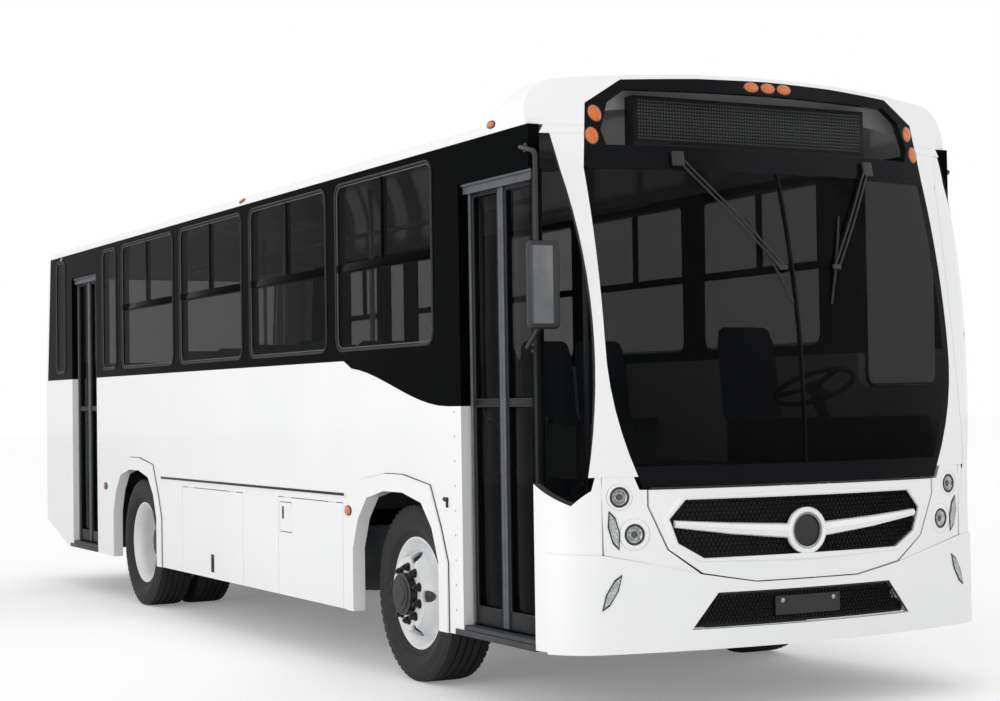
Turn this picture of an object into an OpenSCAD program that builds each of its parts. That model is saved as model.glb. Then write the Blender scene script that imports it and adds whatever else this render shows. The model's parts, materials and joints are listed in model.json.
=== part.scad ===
// Front-engined urban bus with two passenger doors on its right-hand side.
// Millimetres. +X forward, +Y to the bus's left, +Z up, origin on the ground under the middle.

/* [Overall] */
// Distance between the axles
wheelbase = 4720; // [4500:10:5000]
// Front axle to the front of the bumper
front_overhang = 1960; // [1940:5:2000]
// Rear axle to the back of the rear wall
rear_overhang = 2740; // [2700:10:2900]
// Width over the side walls
body_w = 2550; // [2520:5:2600]
// Lower edge of the skirts above the ground
skirt_z = 338; // [310:1:350]
// Line where the black window band meets the white panels
belt_z = 1752; // [1740:1:1765]
// Top of the side walls
gutter_z = 2812; // [2800:1:2850]
// Crown of the roof
roof_z = 3010; // [2990:1:3020]
// Crown of the raised forehead over the windscreen
dome_z = 3085; // [3075:1:3120]
// Top of the cabin floor
floor_z = 950; // [930:1:960]
// Thickness of a side wall
wall_t = 60; // [50:1:70]
// Gap between neighbouring panels
seam = 0.4; // [0.3:0.1:0.8]
// Gap around an opening panel
flap_gap = 5; // [5:0.5:8]

/* [Wheels] */
// Outer radius of a tyre
tyre_r = 478; // [465:1:485]
// Width of a tyre
tyre_w = 275; // [255:1:285]
// Radius of the bead seat
rim_r = 286; // [280:1:292]
// Distance from the centre plane to a front wheel's middle
front_track_y = 1040; // [1030:1:1050]
// Distance from the centre plane to a rear pair's middle
rear_track_y = 935; // [925:1:945]
// Distance between the two tyres of a pair
twin_pitch = 322; // [310:1:330]
// Distance from the centre plane to a kingpin
kingpin_y = 870; // [860:1:875]
// Radius of a kingpin
kingpin_r = 24; // [20:1:28]
// Radius of a stub axle
spindle_r = 38; // [34:1:42]
// Running clearance of a shaft in its hole
run_gap = 0.05; // [0.03:0.01:0.08]

/* [Doors] */
// Clear width of a doorway
door_w = 740; // [720:5:760]
// Front of the bumper to the front doorway
door_setback = 415; // [405:1:425]
// Back of the rear wall to the rear doorway
rear_door_setback = 960; // [950:5:1000]
// Lower edge of the leaves
leaf_z0 = 402; // [395:1:410]
// Upper edge of the leaves
leaf_z1 = 2590; // [2560:1:2600]
// Thickness of a leaf
leaf_t = 36; // [30:1:40]
// Depth of the leaves behind the side wall's face
leaf_recess = 48; // [44:1:52]
// Depth of the lower step
step_depth = 470; // [465:1:490]

/* [Front] */
// Plan radius of the front face
plan_r = 4170; // [4000:10:4400]
// Side-view radius of the windscreen
screen_vr = 4600; // [4400:50:5000]
// Height of the crease where the windscreen's curve begins
screen_z0 = 1150; // [1145:1:1155]
// Top of the windscreen
screen_z1 = 2605; // [2600:1:2610]
// How far the windscreen leans back
screen_rake = 185; // [175:1:195]
// Thickness of the moulded front panels
mould_t = 40; // [35:1:45]
// Thickness of the grille flap
hood_t = 12; // [10:1:14]
// Thickness of glass
glass_t = 8; // [6:0.5:10]
// How far the bumper stands proud of the face above it
bumper_proud = 10; // [8:1:14]

/* [Windows] */
// Wide windows in the main bay
window_count = 4; // [3:1:5]
// Post between two windows
window_post = 150; // [140:1:160]
// Lower edge of the windows
window_z0 = 1812; // [1805:1:1820]
// Upper edge of the windows
window_z1 = 2768; // [2755:1:2775]
// Corner radius of a window
window_r = 70; // [60:1:80]

/* [Hidden] */
$fn = 48;
half_w = body_w / 2;
in_w = half_w - wall_t;
overall_l = front_overhang + wheelbase + rear_overhang;
nose_x = overall_l / 2;
tail_x = -overall_l / 2;
front_axle_x = nose_x - front_overhang;
rear_axle_x = front_axle_x - wheelbase;
axle_z = tyre_r;

// Doorways: x of each doorway's rear and front jamb
jamb_x = nose_x - door_setback;
front_door_x = [jamb_x - door_w, jamb_x];
rear_door_x = [tail_x + rear_door_setback, tail_x + rear_door_setback + door_w];

// Rear wall
corner_x = tail_x + 155;
rear_lean = 6.5;
rear_r = 120;
tail_chamfer = [820, 224];
band_back = tail_x + (corner_x - tail_x) / cos(rear_lean) + seam;

// Front face: surface of revolution about a vertical axis far behind it
face_x = nose_x - bumper_proud;
plan_x = face_x - plan_r;
screen_top_x = face_x - screen_rake;
chord = norm([screen_z1 - screen_z0, screen_rake]);
apothem = sqrt(screen_vr * screen_vr - chord * chord / 4);
arc_x = face_x - screen_rake / 2 - apothem * (screen_z1 - screen_z0) / chord;
arc_z = (screen_z0 + screen_z1) / 2 - apothem * screen_rake / chord;
fascia_rake = 0.17;
// The front's outlines are drawn for this half-width of the body, and widen with it
drawn_half = 1275;
wide = half_w / drawn_half;
turn_y0 = 1060 * wide;
turn_y1 = 1225 * wide;
function spread(half) = [for (p = half) [p[0] * wide, p[1]]];

// x of the front face on the centre plane at height z
function nose_at(z) = z <= screen_z0 ? face_x
    : z <= screen_z1 ? arc_x + sqrt(screen_vr * screen_vr - (z - arc_z) * (z - arc_z))
    : screen_top_x - (z - screen_z1) * fascia_rake;
// Plan section: half-width at which the front arc turns into the corner, and that corner
function mix(a, b, t) = a + (b - a) * min(1, max(0, t));
function turn_y(z) = mix(turn_y0, turn_y1, (z - screen_z0) / (screen_z1 - screen_z0));
function turn_sin(z) = turn_y(z) / (nose_at(z) - plan_x);
function corner_r(z) = (half_w - turn_y(z)) / (1 - turn_sin(z));
function corner_c(z) = plan_x + (nose_at(z) - plan_x - corner_r(z)) * sqrt(1 - turn_sin(z) * turn_sin(z));
function rad(a) = a * 180 / PI;
// Point of the plan section at girth s from the centre plane, d inside the face
function skin(s, z, d) =
    let (r = nose_at(z) - plan_x, t = turn_y(z), c = corner_r(z), a = asin(turn_sin(z)))
    s <= t ? [plan_x + (r - d) * sqrt(1 - s * s / r / r), (r - d) * s / r, z]
    : let (f = min(90, a + rad((s - t) / c)), x = corner_c(z),
           over = max(0, s - t - c * (90 - a) * PI / 180))
    [x + (c - d) * cos(f) - over, half_w - c + (c - d) * sin(f), z];
// Girth at which the section reaches the front doorway's jamb, d inside the face
function jamb_s(z, d) =
    let (r = nose_at(z) - plan_x, c = corner_r(z), a = asin(turn_sin(z)), dx = jamb_x + seam - corner_c(z))
    dx <= 0 ? turn_y(z) + c * (90 - a) * PI / 180 - dx
    : dx < (c - d) * cos(a) ? turn_y(z) + c * (acos(dx / (c - d)) - a) * PI / 180
    : r * sqrt(1 - pow((jamb_x + seam - plan_x) / (r - d), 2));

// Windscreen's and quarter glass's side outlines
screen_half = 1025 * wide;
forehead_lean = 0.12;
function screen_y(z) = screen_half
    - (z < 1750 ? 137 * pow((1750 - z) / 604, 2) : z > screen_z1 ? forehead_lean * (z - screen_z1) : 0);
// Girth at which a flat cut beside the windscreen meets the section, d inside the face
function screen_s(z, d) =
    let (r = nose_at(z) - plan_x) (screen_y(z) + seam) * r / (r - d);
function quarter_s(z) =
    (1075 + (z > 1836 ? 90 * pow((z - 1836) / 915, 2) : 60 * pow((1836 - z) / 740, 2))) * wide;
quarter_top_z = 2770;
// Heights at which the windscreen's edge and the pillar beside it are both drawn
function rows(a, b, n) = [for (i = [0 : n]) a + (b - a) * i / n];
screen_rows = rows(screen_z0 + seam, screen_z1, 14);

// Wheel arch: half-widths and heights of its outline
arch_half = 550;
arch_top = 1030;
arch_lip = 95;
housing_half = 600;
housing_top = 1085;

// Floor: half-width between the stairs and wheel housings, plate thickness, and the stairs' inner edge
well_t = 20;
step_inner_y = half_w - step_depth - 260;
deck_y = step_inner_y - well_t;
deck_t = 45;

// Window spans, rear to front
bay_x = [rear_door_x[1] + 570 + window_post, front_door_x[0] - 307];
window_w = (bay_x[1] - bay_x[0] - (window_count - 1) * window_post) / window_count;
wide_windows = [for (i = [0 : window_count - 1])
    let (x = bay_x[0] + i * (window_w + window_post)) [x, x + window_w]];
narrow_window = [rear_door_x[1] + 176, rear_door_x[1] + 570];
corner_window = [tail_x + 440, tail_x + 760];
right_windows = concat([corner_window, narrow_window], wide_windows);
left_rear_window = [rear_door_x[0] + 40, rear_door_x[1] + 20];
left_windows = concat([corner_window, left_rear_window, narrow_window], wide_windows);
driver_window = [front_door_x[0] + 40, jamb_x - 60];
driver_sill_z = 1560;

// Flaps in the right-hand skirt: x span and top edge
tank_flap_x = [front_axle_x - 1735, front_axle_x - 722];
service_flap_l = 1232;
rear_lip_x = rear_axle_x + arch_half + arch_lip;
service_start_x = rear_lip_x + 0.424 * (tank_flap_x[0] - rear_lip_x - service_flap_l);
service_flap_x = [service_start_x, service_start_x + service_flap_l];
flap_top_z = 938;
filler_x = [tank_flap_x[0] + 20, tank_flap_x[0] + 225];
filler_z = [725, 912];
flap_t = 40;
rod_r = 2;
flap_axis = [-half_w + rod_r, flap_top_z + flap_gap / 2];
filler_axis = [filler_x[1] - flap_gap / 2, -half_w + rod_r];

// Grille flap and bumper outlines, right half as [y, z] from the centre outwards
valance_z = 1100;
hood_top = valance_z - 12;
hood_half = spread([[0, 645], [300, 645], [581, 693], [751, 810], [845, 1012], [845, hood_top]]);
hinge_r = 3;
hood_axis = [face_x - 5, valance_z - hinge_r - 0.6];
grille_half = spread([[571, 762], [701, 836], [742, 949], [661, 1037]]);
bumper_half = spread([[0, 640], [300, 640], [585, 688], [803, 738], [1055, 791], [1315, 805]]);
bumper_grille_half = spread([[507, 600], [645, 433]]);
lamp_panel_y = 1066 * wide;
lamp_panel_half = spread([[590, 690], [810, 740], [1055, 793], [1066 - seam, 1089], [1060, screen_z0],
    [912, screen_z0], [886, 1089], [850, 1089], [850, 1012], [756, 808]]);

// Suspension, frame and running gear
rail_y = 430;
rail_z = [590, 800];
rail_w = 80;
spring_l = 1500;
leaf_pitch = 14;
leaf_count = 3;
front_spring_z = axle_z + 60;
rear_spring_z = axle_z + 91;
front_spindle_y = front_track_y + 180;
rear_spindle_y = rear_track_y + 150;
arm_back = 210;
tie_eye_r = 24;
tie_pin_r = 11;
tie_z = 290;
gearbox_z = 630;

// Extrudes an [x, z] profile along Y from y0, t thick
module along_y(y0, t) {
    translate([0, y0 + t, 0]) rotate([90, 0, 0]) linear_extrude(t) children();
}
// Extrudes a [y, z] profile along X from x0, t long
module along_x(x0, t) {
    translate([x0, 0, 0]) rotate([90, 0, 90]) linear_extrude(t) children();
}
module box(lo, hi) {
    translate(lo) cube(hi - lo);
}
// Rectangle with round corners
module round_rect(x, z, r) {
    translate([x[0] + r, z[0]]) square([x[1] - x[0] - 2 * r, z[1] - z[0]]);
    translate([x[0], z[0] + r]) square([x[1] - x[0], z[1] - z[0] - 2 * r]);
    for (i = [0, 1], j = [0, 1])
        translate([x[i] + r - 2 * r * i, z[j] + r - 2 * r * j]) circle(r);
}
// Both halves of an outline given for one half
module both_halves(half) {
    polygon(concat(half, [for (i = [len(half) - 1 : -1 : 0]) [-half[i][0], half[i][1]]]));
}
module each_side() {
    children();
    mirror([0, 1, 0]) children();
}
// Cylinder along Y, centred at [x, y, z]
module y_rod(c, r, l) {
    translate(c) rotate([90, 0, 0]) cylinder(h = l, r = r, center = true);
}
// Cylinder along X from x0
module x_rod(x0, y, z, r, l) {
    translate([x0, y, z]) rotate([0, 90, 0]) cylinder(h = l, r = r);
}
// Straight round bar between two points
module bar(a, b, r) {
    d = b - a;
    translate(a) rotate([0, acos(d[2] / norm(d)), atan2(d[1], d[0])]) cylinder(h = norm(d), r = r, $fn = 24);
}

// Closed shell over the front's corner between girths s0(z, u-end 0) and s1, right-hand side
module skin_patch(s0, s1, heights, t, n) {
    pts = [for (d = [0, t], z = heights, i = [0 : n])
        let (a = s0(z, d), q = skin(a + (s1(z, d) - a) * i / n, z, d)) [q[0], -q[1], q[2]]];
    m = len(heights) - 1;
    w = n + 1;
    k = w * (m + 1);
    quad = function (a, b, c, d) [[a, c, b], [a, d, c]];
    faces = concat(
        [for (j = [0 : m - 1], i = [0 : n - 1])
            each quad(j * w + i, (j + 1) * w + i, (j + 1) * w + i + 1, j * w + i + 1)],
        [for (j = [0 : m - 1], i = [0 : n - 1])
            each quad(k + j * w + i, k + j * w + i + 1, k + (j + 1) * w + i + 1, k + (j + 1) * w + i)],
        [for (j = [0 : m - 1]) each quad(j * w, k + j * w, k + (j + 1) * w, (j + 1) * w)],
        [for (j = [0 : m - 1]) each quad(j * w + n, (j + 1) * w + n, k + (j + 1) * w + n, k + j * w + n)],
        [for (i = [0 : n - 1]) each quad(i, i + 1, k + i + 1, k + i)],
        [for (i = [0 : n - 1]) each quad(m * w + i, k + m * w + i, k + m * w + i + 1, m * w + i + 1)]);
    polyhedron(pts, faces);
}
// Plan outline of the lower front, inset inside a face that stands out by proud
module plan_outline(proud, inset) {
    z = screen_z0;
    r = plan_r + proud - inset;
    c = corner_r(z) + proud - inset;
    x = corner_c(z);
    y = half_w - corner_r(z);
    far = 1.05 * plan_r / norm([x - plan_x, y]);
    tip = [plan_x + (x - plan_x) * far, y * far];
    back = x - 400;
    intersection() {
        translate([plan_x, 0]) circle(r, $fn = 360);
        polygon([[back, -y], [x, -y], [tip[0], -tip[1]], [tip[0], tip[1]], [x, y], [back, y]]);
    }
    for (i = [-1, 1]) translate([x, i * y]) circle(c);
    translate([back, -y - c]) square([x - back, 2 * (y + c)]);
}
// Wall of the lower front, t thick, ahead of the jambs
module front_ring(proud, t, z0, z1) {
    translate([0, 0, z0]) linear_extrude(z1 - z0) difference() {
        plan_outline(proud, 0);
        plan_outline(proud, t);
        translate([jamb_x - 1000 + seam, -half_w - 100]) square([1000, body_w + 200]);
    }
}
// Windscreen's double-curved skin between two heights
module screen_ring(t, z0, z1) {
    translate([plan_x, 0, 0]) rotate([0, 0, -20]) rotate_extrude(angle = 40, $fn = 360) intersection() {
        difference() {
            translate([arc_x - plan_x, arc_z]) circle(screen_vr, $fn = 360);
            translate([arc_x - plan_x, arc_z]) circle(screen_vr - t, $fn = 360);
        }
        translate([plan_r - 1000, z0]) square([2000, z1 - z0]);
    }
}
// Forehead's conical skin between two heights
module fascia_ring(t, z0, z1, inset = 0) {
    a = plan_r - screen_rake - inset;
    x0 = a - (z0 - screen_z1) * fascia_rake;
    x1 = a - (z1 - screen_z1) * fascia_rake;
    translate([plan_x, 0, 0]) rotate([0, 0, -25]) rotate_extrude(angle = 50, $fn = 360)
        polygon([[x0 - t, z0], [x0, z0], [x1, z1], [x1 - t, z1]]);
}
// Black area around the sign and the sign's own glass, as [y, z] half outlines
fascia_half = concat([[screen_half, screen_z1], [screen_y(2920), 2920]],
    spread([[801, 3040], [400, 3060], [0, 3067]]));
sign_half = spread([[905, 2718], [925, 2790], [880, 2925], [785, 2992], [0, 2998]]);

// Windscreen outline up to its side edges, in [y, z]
module screen_outline(grow) {
    heights = concat([valance_z - 10], screen_rows, [screen_z1 + 10]);
    both_halves([for (z = heights) [screen_y(z) + grow, z]]);
}
module arch_outline(grow) {
    h = arch_half + grow;
    t = arch_top + grow;
    polygon([[-h, skirt_z - 10], [-h, 690], [-h + 75, 860], [-h + 200, t - 45], [-120, t],
        [120, t], [h - 200, t - 45], [h - 75, 860], [h, 690], [h, skirt_z - 10]]);
}
// Upper edge of the white wall, dipping to the front door
function dip(x) = let (t = min(1, max(0, (x - front_axle_x + 680) / 1340)))
    belt_z - (t == 0 ? 0 : 40) - 225 * t * t * (3 - 2 * t);

// White lower wall as an [x, z] outline from x0 to x1
module wall_outline(x0, x1, dips) {
    dip_x = front_axle_x - 680;
    top = dips ? concat([[x0, belt_z], [dip_x, belt_z]],
        [for (i = [1 : 12]) let (x = dip_x + 1340 * i / 12) if (x < x1) [x, dip(x)]], [[x1, dip(x1)]])
        : [[x0, belt_z], [x1, belt_z]];
    polygon(concat([[x1, skirt_z], [x0, skirt_z]], top));
}
module band_outline(x0, dips) {
    lean = (gutter_z - belt_z) * tan(rear_lean);
    x1 = jamb_x;
    dip_x = front_axle_x - 680;
    curve = [for (i = [12 : -1 : 1]) let (x = dip_x + 1340 * i / 12) if (x < x1) [x, dip(x) + seam]];
    low = dips ? concat(curve, [[dip_x, belt_z + seam], [x0, belt_z + seam]]) : [[x0, belt_z + seam]];
    front = dips ? [[x1, dip(x1) + seam]] : [[x1, belt_z + seam]];
    polygon(concat([[x0 + lean, gutter_z - seam], [x1, gutter_z - seam]], front, low));
}
module tail_cut() {
    x = tail_x + tail_chamfer[0];
    z = skirt_z + tail_chamfer[1];
    low = skirt_z - 20;
    polygon([[tail_x - 10, low], [x + 40, low], [x, skirt_z], [tail_x, z], [tail_x - 10, z]]);
}
module windows(spans, grow) {
    for (w = spans)
        round_rect([w[0] - grow, w[1] + grow], [window_z0 - grow, window_z1 + grow], window_r + grow);
}
module doorway(d) {
    translate([d[0], skirt_z - 50]) square([d[1] - d[0], head_z - skirt_z + 50]);
}

module wall_right() {
    color("white") along_y(-half_w, wall_t) difference() {
        wall_outline(corner_x, front_door_x[0], true);
        tail_cut();
        doorway(rear_door_x);
        for (x = [front_axle_x, rear_axle_x]) translate([x, 0]) arch_outline(0);
        for (f = [service_flap_x, tank_flap_x]) translate([f[0] - flap_gap, skirt_z - 10])
            square([f[1] - f[0] + 2 * flap_gap, flap_top_z + flap_gap - skirt_z + 10]);
    }
}
module wall_left() {
    color("white") along_y(in_w, wall_t) difference() {
        wall_outline(corner_x, jamb_x, false);
        tail_cut();
        for (x = [front_axle_x, rear_axle_x]) translate([x, 0]) arch_outline(0);
        round_rect(driver_window, [driver_sill_z, window_z1], window_r);
    }
}
module band_right() {
    color("#101114") along_y(-half_w, wall_t) difference() {
        band_outline(band_back, true);
        windows(right_windows, 0);
        doorway(front_door_x);
        doorway(rear_door_x);
    }
}
module band_left() {
    color("#101114") along_y(in_w, wall_t) difference() {
        band_outline(band_back, false);
        windows(left_windows, 0);
        round_rect(driver_window, [driver_sill_z, window_z1], window_r);
    }
}
module body_glass() {
    color("#20262b", 0.5) {
        along_y(-half_w + 6, glass_t) windows(right_windows, -seam);
        along_y(half_w - 6 - glass_t, glass_t) {
            windows(left_windows, -seam);
            round_rect(driver_window + [seam, -seam], [driver_sill_z + seam, window_z1 - seam], window_r);
        }
        rear_upper() along_x(tail_x + 8, glass_t) rear_window_outline(seam);
    }
}

tail_lamps_z = [900, 1080, 1260, 1440];
tail_lamp_y = 1050;
tail_lamp_r = 70;
tail_lamp_t = 20;
rear_window_y = 900;
rear_window_z = [1900, 2680];
// Tilts what is drawn upright into the leaning upper half of the rear wall
module rear_upper() {
    translate([tail_x, 0, belt_z]) rotate([0, rear_lean, 0]) translate([-tail_x, 0, -belt_z]) children();
}
module rear_window_outline(gap) {
    round_rect([-rear_window_y + gap, rear_window_y - gap], rear_window_z + [gap, -gap], window_r);
}
module rear_plan(inset) {
    x = [tail_x + inset, corner_x + 400];
    difference() {
        round_rect(x, [-half_w + inset, half_w - inset], rear_r - inset);
        translate([corner_x, -half_w - 10]) square([800, body_w + 20]);
    }
}
module rear_wall() {
    color("white") {
        difference() {
            translate([0, 0, skirt_z + 20]) linear_extrude(belt_z - skirt_z - 20) difference() {
                rear_plan(0);
                rear_plan(wall_t);
            }
            along_y(-half_w - 10, body_w + 20) tail_cut();
            each_side() for (z = tail_lamps_z)
                x_rod(tail_x - 1, tail_lamp_y, z, tail_lamp_r + seam, tail_lamp_t + seam + 1);
        }
        intersection() {
            rear_upper() difference() {
                translate([0, 0, belt_z - 200]) linear_extrude(1500) difference() {
                    rear_plan(0);
                    rear_plan(wall_t);
                }
                along_x(tail_x - 20, wall_t + 60) rear_window_outline(0);
            }
            box([tail_x - 10, -half_w - 10, belt_z + seam], [tail_x + 900, half_w + 10, gutter_z - seam]);
        }
    }
}

// Roof cross-section in [y, z], inset inside its outer face
roof_r = 6000;
shoulder_r = 170;
module arch_section(crown, inset) {
    c = crown - roof_r;
    y = half_w - shoulder_r;
    z = c + sqrt(pow(roof_r - shoulder_r, 2) - y * y);
    far = 1.06 * roof_r / (roof_r - shoulder_r);
    tip = [y * far, c + (z - c) * far];
    intersection() {
        union() {
            intersection() {
                translate([0, c]) circle(roof_r - inset, $fn = 400);
                polygon([[-y, gutter_z - 400], [y, gutter_z - 400], [y, z], tip, [-tip[0], tip[1]], [-y, z]]);
            }
            for (i = [-1, 1]) translate([i * y, z]) circle(shoulder_r - inset);
            translate([-half_w + inset, gutter_z - 400]) square([body_w - 2 * inset, z - gutter_z + 400]);
        }
        translate([-half_w - 50, gutter_z]) square([body_w + 100, 500]);
    }
}
roof_t = 45;
roof_back = tail_x + (gutter_z - belt_z) * tan(rear_lean);
roof_front = nose_x - 480;
dome_r = 13400;
dome_back = nose_x - 920;
dome_front = nose_x - 560;
hatch_x = [front_axle_x - 700, rear_axle_x - 380];
hatch_half = 330;
hatch_rim_z = roof_z + 12;
module hatch_frame(x, half, z) {
    box([x - half, -half, z[0]], [x + half, half, z[1]]);
}
module roof() {
    color("white") difference() {
        union() {
            along_x(roof_back, roof_front - roof_back) difference() {
                arch_section(roof_z, 0);
                arch_section(roof_z, roof_t);
            }
            along_x(roof_back, roof_t) arch_section(roof_z, 0);
            for (x = hatch_x) hatch_frame(x, hatch_half, [roof_z - roof_t - 20, hatch_rim_z]);
        }
        for (x = hatch_x) hatch_frame(x, hatch_half - 30, [gutter_z, roof_z + 100]);
    }
}
module hatch(x) {
    lid = hatch_half + 15;
    color("white") {
        box([x - lid, -lid, hatch_rim_z + seam], [x + lid, lid, hatch_rim_z + 30]);
        box([x - lid + 70, -lid + 70, hatch_rim_z + 30], [x + lid - 70, lid - 70, hatch_rim_z + 42]);
        y_rod([x - lid, 0, hatch_rim_z], 5, 500);
    }
}
module front_hatch() hatch(hatch_x[0]);
module rear_hatch() hatch(hatch_x[1]);

// Forehead: raised roof section, raked back, trimmed to the front face
module dome_section(inset, base) {
    c = dome_z - dome_r;
    y = half_w - shoulder_r;
    a = asin(y / (dome_r - shoulder_r));
    z = c + (dome_r - shoulder_r) * cos(a);
    crown = dome_r - inset;
    side = shoulder_r - inset;
    both_halves(concat([[half_w - inset, base]],
        [for (i = [0 : 8]) let (t = (90 - a) * i / 8) [y + side * cos(t), z + side * sin(t)]],
        [for (i = [1 : 12]) let (t = a * (1 - i / 12)) [crown * sin(t), c + crown * cos(t)]]));
}
module dome_solid(inset, base) {
    intersection() {
        fascia_ring(900, gutter_z - 90, dome_z + 90, inset);
        box([dome_back - 100, -half_w, base], [nose_x, half_w, dome_z + 20]);
        along_y(-half_w - 50, body_w + 100) polygon([[dome_back, gutter_z - 60], [dome_front, dome_z + 10],
            [dome_front, dome_z + 60], [nose_x + 200, dome_z + 60], [nose_x + 200, gutter_z - 60]]);
        along_x(dome_back - 150, nose_x - dome_back + 300) dome_section(inset, base - 20);
    }
}
module pillar() {
    skin_patch(function (z, d) screen_s(z, d), function (z, d) quarter_s(z) - seam,
        concat(screen_rows, [(screen_z1 + quarter_top_z) / 2, quarter_top_z]), mould_t, 3);
    skin_patch(function (z, d) screen_s(z, d), function (z, d) jamb_s(z, d),
        rows(quarter_top_z + seam, gutter_z - seam, 2), mould_t, 8);
}
// Side-view outline of the quarter glass's lower end
module quarter_low(grow) {
    back = jamb_x - 20;
    top = screen_z0 + 0.1;
    polygon([[back, 1132 - grow], [nose_x - 219, 1021 - grow], [nose_x - 165, 1090 - grow],
        [nose_x - 158, top], [back, top]]);
}
module front_mask() {
    color("white") {
        each_side() pillar();
        difference() {
            front_ring(0, mould_t, skirt_z + 8, screen_z0);
            along_y(-half_w - 10, body_w + 20) quarter_low(seam);
            along_x(0, nose_x) translate([-lamp_panel_y, 0]) square([2 * lamp_panel_y, 2000]);
            intersection() {
                along_x(0, nose_x + 100) bumper_outline(seam);
                box([bumper_end_x - seam, -half_w - 50, 0], [nose_x + 50, half_w + 50, 900]);
            }
        }
    }
}
module front_dome() {
    color("white") difference() {
        dome_solid(0, gutter_z);
        along_x(dome_back - 200, roof_front - dome_back + 200 + seam) arch_section(roof_z, -seam);
        intersection() {
            dome_solid(mould_t, gutter_z - 40);
            box([roof_front, -half_w, gutter_z - 50], [nose_x, half_w, dome_z + 20]);
        }
        along_x(roof_front + 20, nose_x)
            both_halves([for (p = fascia_half) p + [p[0] > 0 ? seam : 0, seam]]);
    }
}
module lamp_panels() {
    color("white") difference() {
        intersection() {
            front_ring(0, mould_t, skirt_z, screen_z0);
            along_x(0, nose_x + 100) each_half() polygon(lamp_panel_half);
        }
        each_side() lamp_holes(0);
        screen_clear();
    }
}
module each_half() {
    children();
    mirror([1, 0]) children();
}
// Clears the windscreen's black valance out of the panels beside it
module screen_clear() {
    along_x(0, nose_x + 100) intersection() {
        screen_outline(seam);
        translate([-half_w, valance_z - seam]) square([body_w, 2000]);
    }
}
headlamps_at = [[981 * wide, 1058, 62], [912 * wide, 884, 74]];
module lamp_holes(grow) {
    for (l = headlamps_at) along_x(face_x - 400, 500) translate([-l[0], l[1]]) circle(l[2] - grow);
}
module headlamps() {
    color("#dfe4e8") intersection() {
        front_ring(-4, mould_t, skirt_z, screen_z0);
        each_side() lamp_holes(seam);
    }
}
// Bumper as seen from the front, and where its ends stop short of the doorway
bumper_end_x = jamb_x + 95;
module bumper_outline(grow) {
    foot = [bumper_half[5][0], skirt_z - 20];
    both_halves(concat([foot], [for (i = [5 : -1 : 0]) bumper_half[i] + [0, grow]]));
}
module front_bumper() {
    color("white") difference() {
        intersection() {
            front_ring(bumper_proud, mould_t, skirt_z, 900);
            along_x(0, nose_x + 100) bumper_outline(0);
        }
        along_x(face_x - 500, 700) both_halves(bumper_grille_half);
        box([0, -half_w - 50, 0], [bumper_end_x, half_w + 50, 900]);
    }
}

module bumper_grille() {
    color("#1a1b1d") intersection() {
        front_ring(bumper_proud - 12, 20, 400, 620);
        along_x(0, nose_x) difference() {
            both_halves([for (p = bumper_grille_half) p - [seam, p[1] > 500 ? seam : -seam]]);
            for (i = [-7 : 7], j = [0 : 1])
                translate([i * 70, 478 + j * 65]) square([50, 45], center = true);
        }
    }
}
module hood() {
    color("white") {
        difference() {
            intersection() {
                front_ring(0, hood_t, 600, screen_z0);
                along_x(0, nose_x + 100) both_halves([for (i = [len(hood_half) - 1 : -1 : 0])
                    hood_half[i] - [i > 1 ? flap_gap : 0, 0]]);
            }
            along_x(0, nose_x + 100) both_halves(grille_half);
        }
        each_side() {
            y_rod([hood_axis[0], 105, hood_axis[1]], hinge_r, 90);
            for (y = [75, 135])
                box([hood_axis[0] - 2, y - 8, hood_top - 10], [hood_axis[0] + 2, y + 8, hood_axis[1]]);
        }
    }
}
module hood_grille() {
    color("#17181a") {
        intersection() {
            front_ring(-10, 20, 600, screen_z0);
            along_x(0, nose_x + 100) difference() {
                both_halves([for (p = grille_half) p - [seam, p[1] > 900 ? seam : -seam]]);
                for (i = [-10 : 10], j = [0 : 3])
                    translate([i * 64 + (j % 2) * 32, 800 + j * 62]) circle(26, $fn = 6);
            }
        }
    }
}
module front_fascia() {
    color("#0c0d0f") {
        difference() {
            intersection() {
                fascia_ring(mould_t, screen_z1, dome_z - 10);
                along_x(0, 2 * nose_x) both_halves(fascia_half);
            }
            along_x(0, 2 * nose_x) both_halves(sign_half);
        }
        intersection() {
            screen_ring(mould_t, valance_z, 1195);
            along_x(0, nose_x + 100) screen_outline(0);
        }
        intersection() {
            screen_ring(25, 1195, screen_z1 - seam);
            box([0, -5, 0], [2 * nose_x, 5, 4000]);
        }
    }
}
module front_glass() {
    color("#2a3238", 0.5) {
        difference() {
            intersection() {
                screen_ring(glass_t, 1195 + seam, screen_z1 - seam);
                along_x(0, nose_x + 100) screen_outline(0);
            }
            box([0, -5 - seam, 0], [2 * nose_x, 5 + seam, 4000]);
        }
        intersection() {
            fascia_ring(glass_t, screen_z1, 3050);
            along_x(0, 2 * nose_x)
                both_halves([for (p = sign_half) p - [p[0] > 0 ? seam : 0, p[1] > 2900 ? seam : -seam]]);
        }
    }
}
module quarter_glass() {
    color("#15181b", 0.6) {
        each_side() skin_patch(function (z, d) quarter_s(z), function (z, d) jamb_s(z, d),
            concat(screen_rows, [(screen_z1 + quarter_top_z) / 2, quarter_top_z - seam]), glass_t, 8);
        intersection() {
            front_ring(0, glass_t, 1000, screen_z0);
            along_y(-half_w - 10, body_w + 20) quarter_low(0);
            union() {
                box([0, -half_w, 0], [2 * nose_x, -1000, 4000]);
                box([0, 1000, 0], [2 * nose_x, half_w, 4000]);
            }
        }
    }
}
module destination_sign() {
    color("#111111") box([roof_front, -700, 2740], [roof_front + 80, 700, roof_z - 30]);
}

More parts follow.
